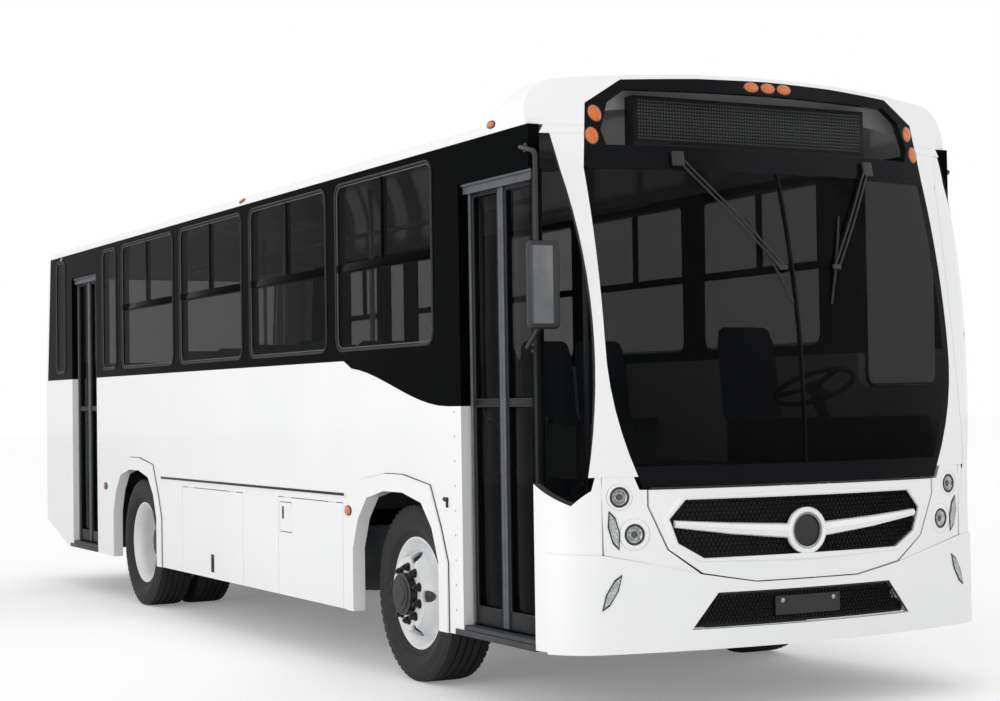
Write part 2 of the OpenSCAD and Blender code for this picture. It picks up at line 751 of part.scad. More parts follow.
// Lamps
module marker(c, l, h, t) {
    translate(c) cube([l, t, h], center = true);
}
module marker_lamps() {
    color("orange") each_side() {
        marker([front_axle_x - 638, -half_w - 6, 901], 110, 45, 12);
        marker([front_axle_x - 2453, -half_w - 6, gutter_z - 20], 90, 30, 12);
    }
}
module tail_lamps() {
    color("red") each_side() for (z = tail_lamps_z) x_rod(tail_x, tail_lamp_y, z, tail_lamp_r, tail_lamp_t);
}
module side_trim() {
    color("white") for (s = [-1, 1]) for (x = [front_axle_x, rear_axle_x])
        along_y(s > 0 ? half_w : -half_w - 14, 14) translate([x, 0]) difference() {
            arch_outline(arch_lip);
            arch_outline(0);
            translate([-900, 0]) square([1800, skirt_z]);
        }
    color("#c8cacc") for (s = [-1, 1]) along_y(s > 0 ? half_w : -half_w - 14, 14)
        translate([rear_axle_x + arch_half + arch_lip + 15, 979])
            square([wheelbase - 2 * (arch_half + arch_lip + 15), 25]);
}

// Cabin floor and what stands on it
module floor_panel(x, y) {
    box([x[0] + seam, y[0] + seam, floor_z - deck_t], [x[1] - seam, y[1] - seam, floor_z]);
}
module floor() {
    front = jamb_x + 60;
    rear_arch = [rear_axle_x - housing_half, rear_axle_x + housing_half];
    front_arch = [front_axle_x - housing_half, front_axle_x + housing_half];
    color("#55585c") {
        floor_panel([corner_x, front], [-deck_y, deck_y]);
        for (x = [[corner_x, rear_arch[0]], [rear_arch[1], front_arch[0]], [front_arch[1], front]])
            floor_panel(x, [deck_y, in_w]);
        for (x = [[corner_x, rear_door_x[0] - well_t], [rear_door_x[1] + well_t, rear_arch[0]],
                  [rear_arch[1], front_arch[0]], [front_arch[1], front_door_x[0] - well_t],
                  [front_door_x[1] + well_t, front]])
            floor_panel(x, [-in_w, -deck_y]);
    }
}
// Cross bearers between the frame and the floor: full width clear of the wheels, short beside them
module floor_bearers() {
    z = [rail_z[1], floor_z - deck_t];
    wide = concat([tail_x + 360], [for (i = [0 : 4]) rear_axle_x + 770 + i * 700]);
    slim = [rear_axle_x - 1400, rear_axle_x - 750, front_axle_x - 400, front_axle_x + 350,
        front_axle_x + 1300];
    color("#26282a") {
        for (x = wide) box([x - 40, -in_w, z[0]], [x + 40, in_w, z[1]]);
        for (x = slim) box([x - 40, -deck_y + 30, z[0]], [x + 40, deck_y - 30, z[1]]);
    }
}
module housing(x) {
    t = 15;
    difference() {
        box([x - housing_half, deck_y, floor_z - deck_t], [x + housing_half, in_w, housing_top]);
        box([x - housing_half + t, deck_y + t, 0], [x + housing_half - t, in_w + 1, housing_top - t]);
    }
}
module wheel_housings() {
    color("#3a3c3f") for (x = [front_axle_x, rear_axle_x]) each_side() housing(x);
}
// Stairs of a doorway: two treads, two risers and a cheek at each end
module stairs(w) {
    x = [w[0] + seam, w[1] - seam];
    y = [-half_w + 4, -half_w + step_depth, -step_inner_y];
    z = [tread_z, (tread_z + floor_z) / 2];
    for (i = [0, 1]) {
        top = i == 0 ? z[1] - well_t - seam : floor_z;
        box([x[0], y[i] + seam, z[i] - well_t], [x[1], y[i + 1] - seam, z[i]]);
        box([x[0], y[i + 1], z[i] - well_t], [x[1], y[i + 1] + well_t, top]);
    }
    for (end = [w[0] - well_t, w[1]]) along_x(end, well_t)
        polygon([[-in_w + seam, z[0] - well_t], [-in_w + seam, floor_z], [y[2] + well_t, floor_z],
            [y[2] + well_t, z[1] - well_t], [y[1] + well_t, z[1] - well_t], [y[1] + well_t, z[0] - well_t]]);
}
module stepwells() {
    color("#4a4d50") {
        stairs(front_door_x);
        stairs(rear_door_x);
    }
}
module dashboard() {
    axis = [-sin(wheel_tilt), 0, cos(wheel_tilt)];
    color("#3b3d40") {
        box([front_axle_x + 1150, 100, floor_z], [front_axle_x + 1500, 1150, 1400]);
        bar(wheel_pos - 20.3 * axis, wheel_pos - 420 * axis, 30);
        box([front_axle_x + 600, -420, floor_z], [front_axle_x + 1500, 95, 1180]);
    }
}
module seat(x, y) {
    translate([x, y, floor_z]) {
        along_y(-200, 400)
            polygon([[-190, 400], [200, 400], [200, 440], [-150, 440], [-230, 960], [-270, 960]]);
        box([-60, -150, 0], [60, -110, 400]);
        box([-60, 110, 0], [60, 150, 400]);
    }
}
seat_pitch = 750;
module seats() {
    color("#5b6b7a") {
        for (i = [0 : 3], y = [-1000, -585, 585, 1000]) seat(rear_axle_x + 1070 + i * seat_pitch, y);
        for (y = [-900, -450, 0, 450, 900]) seat(tail_x + 480, y);
        seat(front_axle_x + 700, 700);
    }
}
module handrails() {
    y = 360;
    r = 16;
    top = roof_z - roof_r + sqrt(pow(roof_r - roof_t, 2) - pow(y + r, 2)) - 0.3;
    color("gold") each_side() {
        x_rod(rear_axle_x - 1700, y, 2650, r, 6400);
        for (x = [rear_axle_x - 1500, rear_axle_x + 800, rear_axle_x + 2400, rear_axle_x + 4000])
            translate([x, y, floor_z]) cylinder(h = top - floor_z, r = r);
    }
}
wheel_pos = [front_axle_x + 1110, 700, 1560];
wheel_tilt = 25;
module steering_wheel() {
    color("#1c1c1e") translate(wheel_pos) rotate([0, -wheel_tilt, 0]) {
        rotate_extrude() translate([215, 0]) circle(14);
        for (a = [0, 120, 240]) rotate(a) translate([20, -15, -8]) cube([186, 30, 16]);
        cylinder(h = 40, r = 45, center = true);
    }
}

// Outside mirrors on tube brackets
// Mirror on the right-hand side: x of the head's rear face and y of its inner edge
module side_mirror(head_x, inner_y) {
    tube = [head_x - 20, -half_w - 45];
    foot = [[jamb_x - 25, 2700], [jamb_x + 22, 1756]];
    elbow = -half_w - 40;
    for (f = foot) y_rod([f[0], -half_w - 20.3, f[1]], 14, 40);
    bar([foot[0][0], elbow, foot[0][1]], [tube[0], tube[1], 2660], 11);
    bar([tube[0], tube[1], 2668], [tube[0], tube[1], 2230], 12);
    box([tube[0] - 12, tube[1] - 12, 2205], [head_x + 10, tube[1] + 12, 2235]);
    box([head_x, -half_w - 125, 1830], [head_x + 70, inner_y, 2245]);
    bar([foot[1][0], elbow, foot[1][1]], [head_x + 20, tube[1], 1840], 11);
}
module mirrors() {
    color("#17181a") {
        side_mirror(jamb_x + 165, -half_w + 40);
        mirror([0, 1, 0]) side_mirror(jamb_x - 165, -half_w - 25);
    }
}
// Point of the front face at [y, z], standing out from it
function face_point(y, z, out) = [plan_x + sqrt(pow(nose_at(z) - plan_x + out, 2) - y * y), y, z];
module wipers() {
    color("#17181a") for (w = [[-560, -50], [580, 230]]) {
        bar(face_point(w[0], 2660, 0.3 + 14 * fascia_rake), face_point(w[0], 2660, 30), 14);
        bar(face_point(w[0], 2660, 25), face_point(w[1], 2090, 25), 8);
    }
}

// Opening panels of the right-hand skirt
// Top-hinged flap over an x span, with its hinge rod in the gap above it
module skirt_flap(x) {
    along_y(-half_w, flap_t) translate([x[0], skirt_z]) square([x[1] - x[0], flap_top_z - skirt_z]);
    for (u = [0.15, 0.85]) {
        m = x[0] + (x[1] - x[0]) * u;
        x_rod(m - 60, flap_axis[0], flap_axis[1], rod_r, 120);
        for (d = [-50, 40])
            box([m + d, flap_axis[0] - 1, flap_top_z - 5], [m + d + 10, flap_axis[0] + 1, flap_axis[1]]);
    }
}
module service_flap() {
    color("white") skirt_flap(service_flap_x);
}
module tank_flap() {
    color("white") difference() {
        skirt_flap(tank_flap_x);
        along_y(-half_w - 1, flap_t + 2) translate([filler_x[0], filler_z[0]])
            square([filler_x[1] - filler_x[0], filler_z[1] - filler_z[0]]);
    }
}
module filler_door() {
    color("white") {
        along_y(-half_w, 12) translate([filler_x[0] + flap_gap, filler_z[0] + flap_gap])
            square([filler_x[1] - filler_x[0] - 2 * flap_gap, filler_z[1] - filler_z[0] - 2 * flap_gap]);
        translate([filler_axis[0], filler_axis[1], filler_z[0] + 30])
            cylinder(h = filler_z[1] - filler_z[0] - 60, r = rod_r);
        for (z = [filler_z[0] + 35, filler_z[1] - 45])
            box([filler_axis[0] - 8, filler_axis[1] - 1, z], [filler_axis[0], filler_axis[1] + 1, z + 10]);
    }
}

// Door leaf that turns on a post at its outer edge, drawn from the post towards +X
leaf_y = half_w - leaf_recess - leaf_t / 2;
tread_z = leaf_z0 - 12;
head_z = leaf_z1 + 15;
post_in = 30;
leaf_l = door_w / 2 - post_in - flap_gap;
module leaf() {
    color("#202326") {
        along_y(-leaf_t / 2, leaf_t) difference() {
            translate([0, leaf_z0]) square([leaf_l, leaf_z1 - leaf_z0]);
            round_rect([50, leaf_l - 45], [leaf_z0 + 80, 1470], 30);
            round_rect([50, leaf_l - 45], [1530, leaf_z1 - 90], 30);
        }
        translate([0, 0, tread_z + 0.3]) cylinder(h = head_z - tread_z - 0.6, r = leaf_t / 2);
        along_y(-3, 6) round_rect([50 + seam, leaf_l - 45 - seam], [leaf_z0 + 80 + seam, 1470 - seam], 30);
        along_y(-3, 6) round_rect([50 + seam, leaf_l - 45 - seam], [1530 + seam, leaf_z1 - 90 - seam], 30);
    }
}
module door_leaf(d, fore) {
    translate([fore ? d[1] - post_in : d[0] + post_in, -leaf_y, 0]) mirror([fore ? 1 : 0, 0, 0]) leaf();
}
module front_door_fore() door_leaf(front_door_x, true);
module front_door_aft() door_leaf(front_door_x, false);
module rear_door_fore() door_leaf(rear_door_x, true);
module rear_door_aft() door_leaf(rear_door_x, false);

// Running gear
module chassis_frame() {
    outer = rail_y + rail_w / 2;
    inner = rail_y - rail_w / 2;
    rail_end = plan_x + sqrt(pow(plan_r - mould_t, 2) - outer * outer) - 15;
    bracket_end = plan_x + sqrt(pow(plan_r + bumper_proud - mould_t, 2) - pow(rail_y + 30, 2)) - 0.3;
    lug = [tail_x + 140, rail_y, rail_z[0] + 105];
    members = [rear_axle_x - 2100, rear_axle_x - 1030, rear_axle_x + 870, rear_axle_x + 1970,
        rear_axle_x + 3070, front_axle_x - 600];
    color("#26282a") {
        each_side() {
            box([tail_x + 300, inner, rail_z[0]], [rail_end, outer, rail_z[1]]);
            box([rail_end - 100, rail_y - 30, rail_z[0] + 15], [bracket_end, rail_y + 30, rail_z[0] + 45]);
            for (a = [[front_axle_x, front_spring_z], [rear_axle_x, rear_spring_z]], d = [-1, 1]) {
                x = a[0] + d * (spring_l / 2 - 40);
                box([x - 40, inner, a[1] + leaf_pitch - 0.5], [x + 40, outer, rail_z[0]]);
            }
            difference() {
                hull() {
                    box([lug[0] + 60, rail_y - 15, rail_z[0] + 40],
                        [lug[0] + 170, rail_y + 15, rail_z[1] - 40]);
                    y_rod(lug, 50, 30);
                }
                y_rod(lug, 20, 40);
            }
        }
        for (x = members) box([x - 50, -inner, rail_z[1] - 75], [x + 50, inner, rail_z[1] - 5]);
    }
}
module engine() {
    color("#6b6e70") {
        box([front_axle_x + 550, -330, 440], [front_axle_x + 1450, 330, rail_z[1] - 10]);
        x_rod(front_axle_x - 150, 0, gearbox_z, 150, 720);
        each_side() for (x = [front_axle_x + 700, front_axle_x + 1250])
            box([x, 320, 620], [x + 90, rail_y - rail_w / 2, 690]);
    }
}
module radiator() {
    y = rail_y - rail_w / 2;
    color("#2b2d2f") box([nose_x - 250, -y, 640], [nose_x - 180, y, 1060]);
}
module drive_shaft() {
    end = [rear_axle_x + 230, 0, axle_z + 20];
    start = [front_axle_x - 150, 0, gearbox_z];
    color("#3a3c3e") {
        bar(start - [70, 0, 0], end + [70, 0, 0], 45);
        x_rod(start[0] - 100.3, 0, start[2], 60, 100);
        x_rod(end[0] + 0.3, 0, end[2], 60, 100);
    }
}
module front_axle() {
    x = front_axle_x;
    seat_z = front_spring_z - (leaf_count - 1) * leaf_pitch - 0.3;
    color("#222426") {
        box([x - 45, -kingpin_y + 75, axle_z - 110], [x + 45, kingpin_y - 75, axle_z - 10]);
        each_side() {
            box([x - 60, rail_y - 40, axle_z - 20], [x + 60, rail_y + 40, seat_z]);
            difference() {
                union() {
                    translate([x, kingpin_y, axle_z - 60]) cylinder(h = 120, r = 62);
                    box([x - 40, kingpin_y - 80, axle_z - 60], [x + 40, kingpin_y - 40, axle_z - 10]);
                }
                translate([x, kingpin_y, axle_z - 61]) cylinder(h = 122, r = kingpin_r + run_gap);
            }
        }
    }
}
module rear_axle() {
    x = rear_axle_x;
    seat_z = rear_spring_z - (leaf_count - 1) * leaf_pitch - 0.3;
    color("#222426") {
        y_rod([x, 0, axle_z], 62, 1220);
        x_rod(x, 0, axle_z, 190, 230);
        each_side() {
            translate([x, 600, axle_z]) rotate([-90, 0, 0])
                cylinder(h = rear_spindle_y - 600, r = spindle_r);
            box([x - 60, rail_y - 40, axle_z], [x + 60, rail_y + 40, seat_z]);
        }
    }
}
module leaf_spring(x, y, len, z) {
    for (i = [0 : leaf_count - 1]) {
        half = len / 2 - i * 90;
        low = z - i * leaf_pitch;
        box([x - half, y - 38, low], [x + half, y + 38, low + leaf_pitch - 0.5]);
    }
}
module leaf_springs() {
    color("#2b2d2f") each_side() {
        leaf_spring(front_axle_x, rail_y, spring_l, front_spring_z);
        leaf_spring(rear_axle_x, rail_y, spring_l, rear_spring_z);
    }
}
module tanks() {
    mid_x = (front_axle_x + rear_axle_x) / 2;
    outer = -half_w + flap_t + 55;
    color("#7b7e80") {
        box([tank_flap_x[0] + 20, outer, 430], [tank_flap_x[1] - 30, -rail_y - 270, rail_z[1]]);
        box([service_flap_x[0] + 60, outer + 30, 430], [service_flap_x[1] - 60, -rail_y - 330, rail_z[1]]);
        for (x = [mid_x - 1060, mid_x + 340]) x_rod(x, rail_y + 370, rail_z[1] - 140.3, 140, 950);
    }
}

// Steering: forked knuckle round the axle beam's eye, stub axle outboard, arm behind
module knuckle() {
    fork = 60.5;
    reach = 95;
    low = tie_z - axle_z + 48;
    color("#303234") {
        for (z = [-reach, fork]) translate([0, 0, z]) {
            cylinder(h = reach - fork, r = 58);
            box([-50, 0, 0], [50, 84, reach - fork]);
        }
        box([-50, 66, -reach], [50, 84, reach]);
        translate([0, 0, -reach]) cylinder(h = 2 * reach, r = kingpin_r);
        translate([0, 80, 0]) rotate([-90, 0, 0])
            cylinder(h = front_spindle_y - kingpin_y - 80, r = spindle_r);
        box([-35, -45, low], [35, 30, -reach + 1]);
        box([-arm_back - 14, -18, low], [0, 18, low + 25]);
        translate([-arm_back, 0, tie_z - axle_z - 10])
            cylinder(h = low + 15 - tie_z + axle_z, r = tie_pin_r);
    }
}
module knuckle_left() translate([front_axle_x, kingpin_y, axle_z]) knuckle();
module knuckle_right() mirror([0, 1, 0]) knuckle_left();
module tie_rod() {
    x = front_axle_x - arm_back;
    color("#3d3f41") difference() {
        union() {
            bar([x, -kingpin_y + 16, tie_z + 18], [x, kingpin_y - 16, tie_z + 18], 15);
            each_side() translate([x, kingpin_y, tie_z]) cylinder(h = 36, r = tie_eye_r);
        }
        each_side() translate([x, kingpin_y, tie_z - 1]) cylinder(h = 38, r = tie_pin_r + run_gap);
    }
}

// Wheels: outline of a rim barrel and of a tyre, revolved about Y
// Section of a wheel: barrel centred on y = 0 with the bolting face at y = +offset
wheel_offset = twin_pitch / 2;
disc_t = 14;
module wheel_section() {
    w = 105;
    e = rim_r - 28;
    o = wheel_offset;
    polygon([[rim_r + 18, -w], [rim_r + 18, -w + 8], [rim_r, -w + 16], [rim_r - 18, -w + 50],
        [rim_r - 18, w - 50], [rim_r, w - 16], [rim_r + 18, w - 8], [rim_r + 18, w], [rim_r + 8, w],
        [rim_r - 8, w - 16], [e, w - 45], [e - 25, o - 45], [e - 60, o], [100, o], [100, o - disc_t],
        [e - 68, o - disc_t], [e - 38, o - 60], [e - 10, w - 60], [e, -w + 50], [rim_r - 8, -w + 16],
        [rim_r + 8, -w]]);
}
module wheel_disc() {
    difference() {
        rotate([-90, 0, 0]) rotate_extrude($fn = 72) wheel_section();
        for (i = [0 : 4]) rotate([0, i * 72, 0]) translate([rim_r - 82, 0, 0])
            rotate([-90, 0, 0]) cylinder(h = 200, r = 32);
    }
}
module tyre() {
    w = tyre_w / 2;
    r = rim_r + 18.5;
    rotate([-90, 0, 0]) rotate_extrude($fn = 72) polygon([[r, -w + 36], [r + 40, -w + 8], [r + 90, -w],
        [tyre_r - 45, -w + 8], [tyre_r - 12, -w + 22], [tyre_r, -w + 50], [tyre_r, w - 50],
        [tyre_r - 12, w - 22], [tyre_r - 45, w - 8], [r + 90, w], [r + 40, w - 8], [r, w - 36]]);
}
// Hub with a blind bore from its inner end
module hub(y0, y1, deep) {
    difference() {
        translate([0, y0, 0]) rotate([-90, 0, 0]) cylinder(h = y1 - y0, r = 110);
        translate([0, y0 - 1, 0]) rotate([-90, 0, 0]) cylinder(h = deep - y0 + 1, r = spindle_r + run_gap);
    }
}
module rim_front() {
    color("white") {
        wheel_disc();
        hub(-40, wheel_offset + 45, front_spindle_y - front_track_y + 0.3);
    }
}
module rim_rear() {
    color("white") {
        translate([0, wheel_offset, 0]) mirror([0, 1, 0]) wheel_disc();
        translate([0, -wheel_offset, 0]) wheel_disc();
        hub(-120, 170, rear_spindle_y - rear_track_y + 0.3);
    }
}
module at_wheel(front, left) {
    x = front ? front_axle_x : rear_axle_x;
    y = front ? front_track_y : rear_track_y;
    mirror([0, left ? 0 : 1, 0]) translate([x, y, axle_z]) children();
}
module rim_fl() at_wheel(true, true) rim_front();
module rim_fr() at_wheel(true, false) rim_front();
module rim_rl() at_wheel(false, true) rim_rear();
module rim_rr() at_wheel(false, false) rim_rear();
module rear_tyres() {
    for (s = [-1, 1]) translate([0, s * twin_pitch / 2, 0]) tyre();
}
module tyre_fl() color("#1d1d1f") at_wheel(true, true) tyre();
module tyre_fr() color("#1d1d1f") at_wheel(true, false) tyre();
module tyre_rl() color("#1d1d1f") at_wheel(false, true) rear_tyres();
module tyre_rr() color("#1d1d1f") at_wheel(false, false) rear_tyres();

chassis_frame();
engine();
radiator();
drive_shaft();
front_axle();
rear_axle();
leaf_springs();
tanks();
floor_bearers();
floor();
wheel_housings();
stepwells();
wall_right();
band_right();
wall_left();
band_left();
roof();
rear_wall();
front_mask();
front_dome();
lamp_panels();
front_fascia();
front_bumper();
bumper_grille();
front_glass();
body_glass();
quarter_glass();
destination_sign();
headlamps();
marker_lamps();
tail_lamps();
side_trim();
dashboard();
seats();
handrails();
steering_wheel();
mirrors();
wipers();
service_flap();
tank_flap();
filler_door();
hood();
hood_grille();
front_door_fore();
front_door_aft();
rear_door_fore();
rear_door_aft();
front_hatch();
rear_hatch();
knuckle_left();
knuckle_right();
tie_rod();
rim_fl();
rim_fr();
rim_rl();
rim_rr();
tyre_fl();
tyre_fr();
tyre_rl();
tyre_rr();
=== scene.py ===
import json
import math

import bmesh
import bpy
from mathutils import Matrix, Vector

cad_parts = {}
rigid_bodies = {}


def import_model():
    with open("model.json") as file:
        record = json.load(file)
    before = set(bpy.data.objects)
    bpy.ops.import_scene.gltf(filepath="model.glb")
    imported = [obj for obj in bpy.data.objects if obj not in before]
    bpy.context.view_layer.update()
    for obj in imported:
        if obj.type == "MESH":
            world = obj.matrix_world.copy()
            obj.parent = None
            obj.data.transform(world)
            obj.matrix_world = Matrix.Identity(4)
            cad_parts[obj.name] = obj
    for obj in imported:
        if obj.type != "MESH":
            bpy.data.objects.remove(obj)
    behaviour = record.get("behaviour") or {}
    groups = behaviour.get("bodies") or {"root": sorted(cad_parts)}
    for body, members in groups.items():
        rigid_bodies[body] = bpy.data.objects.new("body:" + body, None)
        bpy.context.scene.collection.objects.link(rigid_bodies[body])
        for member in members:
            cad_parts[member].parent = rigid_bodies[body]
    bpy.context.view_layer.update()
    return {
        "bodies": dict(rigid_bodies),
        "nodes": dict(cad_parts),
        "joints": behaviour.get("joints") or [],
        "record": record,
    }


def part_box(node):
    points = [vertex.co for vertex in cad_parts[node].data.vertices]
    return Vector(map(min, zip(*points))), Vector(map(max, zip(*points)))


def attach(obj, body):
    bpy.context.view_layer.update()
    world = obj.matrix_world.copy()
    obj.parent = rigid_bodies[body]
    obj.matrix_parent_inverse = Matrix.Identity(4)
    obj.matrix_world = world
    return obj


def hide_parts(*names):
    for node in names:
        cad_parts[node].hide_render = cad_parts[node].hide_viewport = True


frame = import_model()
nodes = frame["nodes"]
print("frame loaded:", len(nodes), "nodes")


# Camera at the photograph's place: lens and angles fitted to the wheels, doors and windows
photoView = {"place": (11.968, -5.512, 1.504), "yaw": 27.953, "pitch": 1.583, "roll": -0.854, "lens": 67.46}


def setCamera(view):
    yaw, pitch, roll = (math.radians(view[k]) for k in ("yaw", "pitch", "roll"))
    ahead = Vector((-math.cos(yaw) * math.cos(pitch), math.sin(yaw) * math.cos(pitch), math.sin(pitch)))
    level = ahead.cross(Vector((0, 0, 1))).normalized()
    rise = level.cross(ahead)
    right = math.cos(roll) * level + math.sin(roll) * rise
    up = -math.sin(roll) * level + math.cos(roll) * rise
    data = bpy.data.cameras.new("photoCamera")
    data.lens, data.sensor_width, data.sensor_fit = view["lens"], 36, "HORIZONTAL"
    data.clip_end = 200
    camera = bpy.data.objects.new("photoCamera", data)
    camera.matrix_world = Matrix.Translation(view["place"]) @ Matrix((right, up, -ahead)).transposed().to_4x4()
    bpy.context.collection.objects.link(camera)
    bpy.context.scene.camera = camera


setCamera(photoView)


# Materials
def linear(hexColour):
    parts = [int(hexColour[i:i + 2], 16) / 255 for i in (1, 3, 5)]
    return tuple(c / 12.92 if c <= 0.04045 else ((c + 0.055) / 1.055) ** 2.4 for c in parts) + (1,)


def addNode(tree, kind, settings=None, links=None):
    node = tree.nodes.new(kind)
    for name, value in (settings or {}).items():
        if isinstance(name, int) or name in node.inputs:
            node.inputs[name].default_value = value
        else:
            setattr(node, name, value)
    for name, source in (links or {}).items():
        tree.links.new(source, node.inputs[name])
    return node


# A finish is its shader values, plus how far colour and roughness drift and what the bump is, with sizes in mm
def makeMaterial(name, finish):
    material = bpy.data.materials.new(name)
    material.use_nodes = True
    tree = material.node_tree
    shader = tree.nodes["Principled BSDF"]
    for socket, value in finish["shader"].items():
        shader.inputs[socket].default_value = value
    place = addNode(tree, "ShaderNodeTexCoord").outputs["Object"]
    cloud = addNode(tree, "ShaderNodeTexNoise", {"Scale": 1000 / finish["cloudMm"], "Detail": 3.0},
                    {"Vector": place})
    tone = addNode(tree, "ShaderNodeValToRGB", None, {"Fac": cloud.outputs["Fac"]})
    tone.color_ramp.elements[0].position, tone.color_ramp.elements[1].position = 0.3, 0.7
    tone.color_ramp.elements[0].color = linear(finish["colours"][0])
    tone.color_ramp.elements[1].color = linear(finish["colours"][1])
    tree.links.new(tone.outputs["Color"], shader.inputs["Base Color"])
    low, high = finish["roughness"]
    gloss = addNode(tree, "ShaderNodeMapRange", {"To Min": low, "To Max": high}, {"Value": cloud.outputs["Fac"]})
    tree.links.new(gloss.outputs["Result"], shader.inputs["Roughness"])
    if "bumpMm" in finish:
        grain = addNode(tree, "ShaderNodeTexNoise", {"Scale": 1000 / finish["grainMm"], "Detail": 2.0},
                        {"Vector": place})
        bump = addNode(tree, "ShaderNodeBump", {"Strength": finish["bumpStrength"],
                                                "Distance": finish["bumpMm"] / 1000},
                       {"Height": grain.outputs["Fac"]})
        tree.links.new(bump.outputs["Normal"], shader.inputs["Normal"])
    return material


# Two-pack paint on steel and glass fibre: clear coat over white with a faint orange peel
bodyPaint = makeMaterial("whiteTwoPackPaint", {
    "colours": ("#f0f1f1", "#f5f5f5"), "cloudMm": 900, "roughness": (0.26, 0.34), "grainMm": 6, "bumpMm": 0.05,
    "bumpStrength": 0.12, "shader": {"Coat Weight": 0.6, "Coat Roughness": 0.05, "Specular IOR Level": 0.5}})
# Black gloss lacquer between the windows: deep and smooth, its reflection kept low for the photograph's black
bandLacquer = makeMaterial("blackGlossLacquer", {
    "colours": ("#060708", "#0a0b0c"), "cloudMm": 600, "roughness": (0.08, 0.13), "grainMm": 8, "bumpMm": 0.04,
    "bumpStrength": 0.1, "shader": {"Specular IOR Level": 0.004}})
# Black gelcoat round the windscreen and sign, with more sheen than the band
fasciaGelcoat = makeMaterial("blackFasciaGelcoat", {
    "colours": ("#0c0d0f", "#121316"), "cloudMm": 500, "roughness": (0.12, 0.2), "grainMm": 8, "bumpMm": 0.04,
    "bumpStrength": 0.1, "shader": {"Specular IOR Level": 0.06}})
# Grey-tinted toughened glass of the side and corner panes: dark, but the cabin shows through
tintedGlass = makeMaterial("greyTintedGlass", {
    "colours": ("#050607", "#08090b"), "cloudMm": 800, "roughness": (0.02, 0.05),
    "shader": {"Alpha": 0.5, "IOR": 1.52, "Specular IOR Level": 0.012}})
# Laminated glass of the windscreen and doors, darker against the unlit inside
screenGlass = makeMaterial("laminatedScreenGlass", {
    "colours": ("#050607", "#08090b"), "cloudMm": 800, "roughness": (0.02, 0.05),
    "shader": {"Alpha": 0.64, "IOR": 1.52, "Specular IOR Level": 0.03}})
# Clear cover over the destination sign
signGlass = makeMaterial("clearSignCover", {
    "colours": ("#0a0b0c", "#101113"), "cloudMm": 800, "roughness": (0.02, 0.05),
    "shader": {"Alpha": 0.22, "IOR": 1.52, "Specular IOR Level": 0.05}})
# Moulded black ABS with a fine spark-eroded grain
blackAbs = makeMaterial("grainedBlackAbs", {
    "colours": ("#131416", "#1a1b1d"), "cloudMm": 60, "roughness": (0.42, 0.55), "grainMm": 1.5, "bumpMm": 0.1,
    "bumpStrength": 0.25, "shader": {}})
# EPDM rubber: soft sheen, slightly chalky
gasketRubber = makeMaterial("epdmRubber", {
    "colours": ("#17181a", "#222426"), "cloudMm": 40, "roughness": (0.6, 0.75), "grainMm": 2, "bumpMm": 0.1,
    "bumpStrength": 0.2, "shader": {}})
# Grey rubber of the door edges, paler where it has weathered
edgeRubber = makeMaterial("greyDoorRubber", {
    "colours": ("#4b4e52", "#5c5f63"), "cloudMm": 80, "roughness": (0.55, 0.7), "grainMm": 2, "bumpMm": 0.1,
    "bumpStrength": 0.2, "shader": {}})
# Anodised aluminium extrusions: pale satin metal
aluminium = makeMaterial("anodisedAluminium", {
    "colours": ("#9b9ea1", "#b4b7ba"), "cloudMm": 120, "roughness": (0.3, 0.42), "grainMm": 3, "bumpMm": 0.05,
    "bumpStrength": 0.15, "shader": {"Metallic": 1.0}})
# Vulcanised tyre rubber with a dusty bloom
tyreRubber = makeMaterial("tyreRubber", {
    "colours": ("#141415", "#1f1f20"), "cloudMm": 70, "roughness": (0.66, 0.82), "grainMm": 3, "bumpMm": 0.3,
    "bumpStrength": 0.3, "shader": {}})
# White stove enamel on pressed steel wheels
wheelEnamel = makeMaterial("whiteWheelEnamel", {
    "colours": ("#d9dadb", "#e4e5e6"), "cloudMm": 90, "roughness": (0.3, 0.42), "grainMm": 4, "bumpMm": 0.08,
    "bumpStrength": 0.15, "shader": {"Coat Weight": 0.3, "Coat Roughness": 0.1}})
# Chassis black over forgings and rolled section
chassisBlack = makeMaterial("chassisBlackPaint", {
    "colours": ("#1a1b1c", "#26272a"), "cloudMm": 150, "roughness": (0.5, 0.68), "grainMm": 5, "bumpMm": 0.2,
    "bumpStrength": 0.3, "shader": {}})
# Sand-cast iron: grey, coarse and dull
castIron = makeMaterial("sandCastIron", {
    "colours": ("#4a4c4e", "#5b5d5f"), "cloudMm": 90, "roughness": (0.6, 0.8), "grainMm": 4, "bumpMm": 0.4,
    "bumpStrength": 0.5, "shader": {"Metallic": 0.6}})
# Brushed aluminium sheet of the tanks: soft streakless sheen
tankAluminium = makeMaterial("brushedTankAluminium", {
    "colours": ("#84878a", "#999c9f"), "cloudMm": 140, "roughness": (0.38, 0.5), "grainMm": 4, "bumpMm": 0.05,
    "bumpStrength": 0.2, "shader": {"Metallic": 1.0}})
# Studded vinyl flooring
floorVinyl = makeMaterial("studdedFloorVinyl", {
    "colours": ("#2b2d30", "#3a3c40"), "cloudMm": 50, "roughness": (0.5, 0.66), "grainMm": 12, "bumpMm": 0.6,
    "bumpStrength": 0.4, "shader": {}})
# Moulded polypropylene: blue-grey with a fine grain
seatPlastic = makeMaterial("mouldedSeatPolypropylene", {
    "colours": ("#3b424b", "#464e58"), "cloudMm": 120, "roughness": (0.38, 0.5), "grainMm": 2, "bumpMm": 0.1,
    "bumpStrength": 0.2, "shader": {}})
# Grey paint on steel tube, smooth with a slight metal sheen
railPaint = makeMaterial("paleGreyRailPaint", {
    "colours": ("#aeb1b3", "#bcbfc1"), "cloudMm": 80, "roughness": (0.25, 0.35), "grainMm": 5, "bumpMm": 0.05,
    "bumpStrength": 0.1, "shader": {"Metallic": 0.4}})
